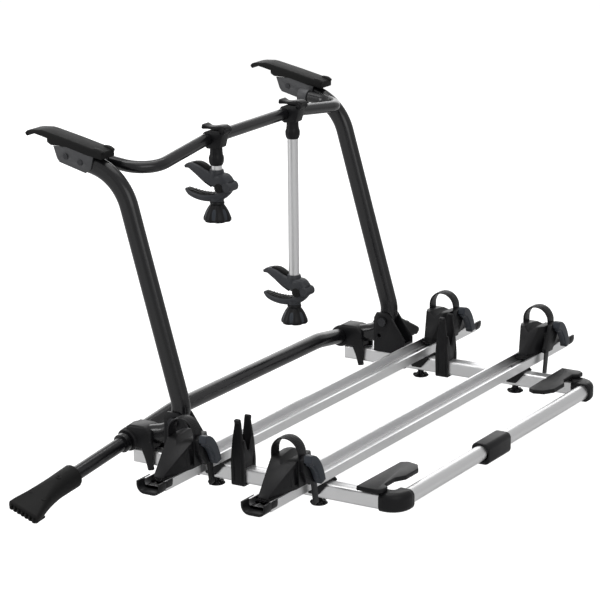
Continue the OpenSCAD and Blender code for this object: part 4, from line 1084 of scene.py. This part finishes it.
@dataclass
class Studio:
    """Floor, lights and the camera at the photograph's angle."""

    focal_mm: float = 161.12
    azimuth: float = -58.478
    elevation: float = 15.436
    roll: float = -0.548
    position: Vector = field(default_factory=lambda: RAIL_NOSE + Vector((-4.420321, -2.835, 1.672156)))
    floor_z: float = -0.7215
    floor_half: float = 20.0
    floor_grey: float = 0.60
    floor_glow: float = 0.70
    air_seen: float = 1.0
    air_light: float = 0.50
    aim: Vector = field(default_factory=lambda: Vector((0.0, -0.3, -0.4)))

    def camera(self) -> None:
        """Makes the camera that was solved from the photograph."""
        data = bpy.data.cameras.new("camera")
        data.lens = self.focal_mm
        data.sensor_width = 36.0
        data.clip_start, data.clip_end = 0.1, 60.0
        camera = bpy.data.objects.new("camera", data)
        bpy.context.scene.collection.objects.link(camera)
        a, e, r = (math.radians(v) for v in (self.azimuth, self.elevation, self.roll))
        back = Vector((math.sin(a) * math.cos(e), -math.cos(a) * math.cos(e), math.sin(e)))
        right = Vector((math.cos(a), math.sin(a), 0.0))
        up = back.cross(right)
        turned_right = right * math.cos(r) + up * math.sin(r)
        turned_up = up * math.cos(r) - right * math.sin(r)
        turn = Matrix((turned_right, turned_up, back)).transposed().to_4x4()
        camera.matrix_world = Matrix.Translation(self.position) @ turn
        bpy.context.scene.camera = camera

    def light(self, name: str, place: tuple[float, float, float], size: tuple[float, float], watts: float) -> None:
        """Adds one soft area light that looks at the middle of the rack.

        Args:
            name: the light's name.
            place: where it stands, in metres.
            size: width and height of its face.
            watts: its power.
        """
        data = bpy.data.lights.new(name, "AREA")
        data.shape = "RECTANGLE"
        data.size, data.size_y = size
        data.energy = watts
        lamp = bpy.data.objects.new(name, data)
        bpy.context.scene.collection.objects.link(lamp)
        lamp.location = place
        lamp.visible_camera = False
        lamp.rotation_mode = "QUATERNION"
        lamp.rotation_quaternion = (self.aim - Vector(place)).to_track_quat("-Z", "Y")

    def floor(self) -> None:
        """Lays the plain pale floor, far larger than the view."""
        work = bmesh.new()
        bmesh.ops.create_grid(work, x_segments=1, y_segments=1, size=self.floor_half)
        bmesh.ops.translate(work, verts=work.verts, vec=(0.0, 0.0, self.floor_z))
        floor = add_object("floor", work)
        material = bpy.data.materials.new("pale floor")
        material.use_nodes = True
        tree = material.node_tree
        shader = tree.nodes["Principled BSDF"]
        grey = (self.floor_grey, self.floor_grey, self.floor_grey, 1.0)
        set_inputs(shader, Base_Color=grey, Roughness=0.95, Emission_Strength=self.floor_glow)
        path = tree.nodes.new("ShaderNodeLightPath")
        tree.links.new(path.outputs["Is Camera Ray"], shader.inputs["Emission Color"])
        floor.data.materials.append(material)

    def build(self) -> None:
        """Sets up the whole studio."""
        self.camera()
        self.floor()
        world = bpy.data.worlds.new("studio air")
        bpy.context.scene.world = world
        world.use_nodes = True
        tree = world.node_tree
        air = tree.nodes["Background"]
        air.inputs["Color"].default_value = (1.0, 1.0, 1.0, 1.0)
        seen = tree.nodes.new("ShaderNodeLightPath")
        level = add_node(tree, "ShaderNodeMapRange", To_Min=self.air_light, To_Max=self.air_seen)
        tree.links.new(seen.outputs["Is Camera Ray"], level.inputs["Value"])
        tree.links.new(level.outputs["Result"], air.inputs["Strength"])
        bpy.context.scene.view_settings.view_transform = "Standard"
        self.light("top panel", (-0.2, -0.2, 3.0), (3.0, 3.0), 34.0)
        self.light("top strip", (0.2, 0.3, 2.4), (3.2, 0.3), 15.0)
        self.light("back panel", (2.8, 1.7, 0.65), (4.0, 2.4), 36.0)
        self.light("left panel", (-2.6, 2.2, 0.9), (0.5, 2.4), 24.0)
        self.light("key panel", (-2.6, -3.2, 1.4), (2.8, 2.2), 26.0)
        LOG.info("studio ready")


@dataclass
class Dresser:
    """Gives every CAD node that stays its finish."""

    nodes: dict[str, bpy.types.Object]

    # Each finish with the beginnings of the node names that get it
    LOOKS = (
        (TUBE_BLACK, ("upright", "upper_crossbar", "lower_crossbar", "foot_arm")),
        (SILVER_X, ("rear_bar", "tray_inner", "tray_outer")),
        (SILVER_Y, ("rail",)),
        (SILVER_Z, ("short_tube", "long_tube")),
        (STEEL_PLATE, ("hook_bracket",)),
        (BOLT_STEEL, ("mast_fasteners", "bracket_bolts")),
        (CASTING, ("junction", "hinge_bracket")),
        (RUBBER, ("foot", "hook_cover")),
        (BLACK_PLASTIC, ("rail_clip", "rear_sleeve", "tray", "corner", "chock", "short_lever", "long_lever",
                         "short_knob", "long_knob")),
        (SLATE_PLASTIC, ("short", "long")),
        (BUCKLE_PLASTIC, ("ratchet",)),
        (STRAP_PLASTIC, ("strap",)),
    )

    def look(self, name: str) -> Finish:
        """The finish of a node: the longest beginning that fits its name decides."""
        fits = [(len(start), look) for look, starts in self.LOOKS for start in starts if name.startswith(start)]
        return max(fits, key=lambda fit: fit[0])[1]

    def dress(self) -> None:
        """Puts the finishes on all CAD nodes."""
        for name, thing in self.nodes.items():
            material = self.look(name).build()
            thing.data.materials.clear()
            thing.data.materials.append(material)
        LOG.info("%d CAD nodes dressed", len(self.nodes))


def node_bodies(bodies: dict) -> dict[str, str]:
    """Which body each CAD node belongs to."""
    return {node: body for body, nodes in bodies.items() for node in nodes}


def main() -> None:
    """Builds the studio, dresses the rack and adds its rebuilt pieces."""
    logging.basicConfig(level=logging.INFO, format="%(name)s: %(message)s")
    for thing in list(bpy.data.objects):
        bpy.data.objects.remove(thing)
    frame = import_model()
    Studio().build()
    Dresser(frame["nodes"]).dress()
    MouldedCopies(frame["nodes"], node_bodies(frame["record"]["behaviour"]["bodies"])).build()
    FrameHolder(Side.LEFT, SHORT_TUBE).build()
    FrameHolder(Side.RIGHT, LONG_TUBE).build()
    for side in Side:
        Foot(side).build()
        Junction(side).build()
        HookCover(side).build()
        TrayEnd(side).build()
        RailClip(side).build()
    for row in Row:
        for side in Side:
            WheelHolder(side, row).build()
            WingKnob(side, row).build()


if __name__ == "__main__":
    main()
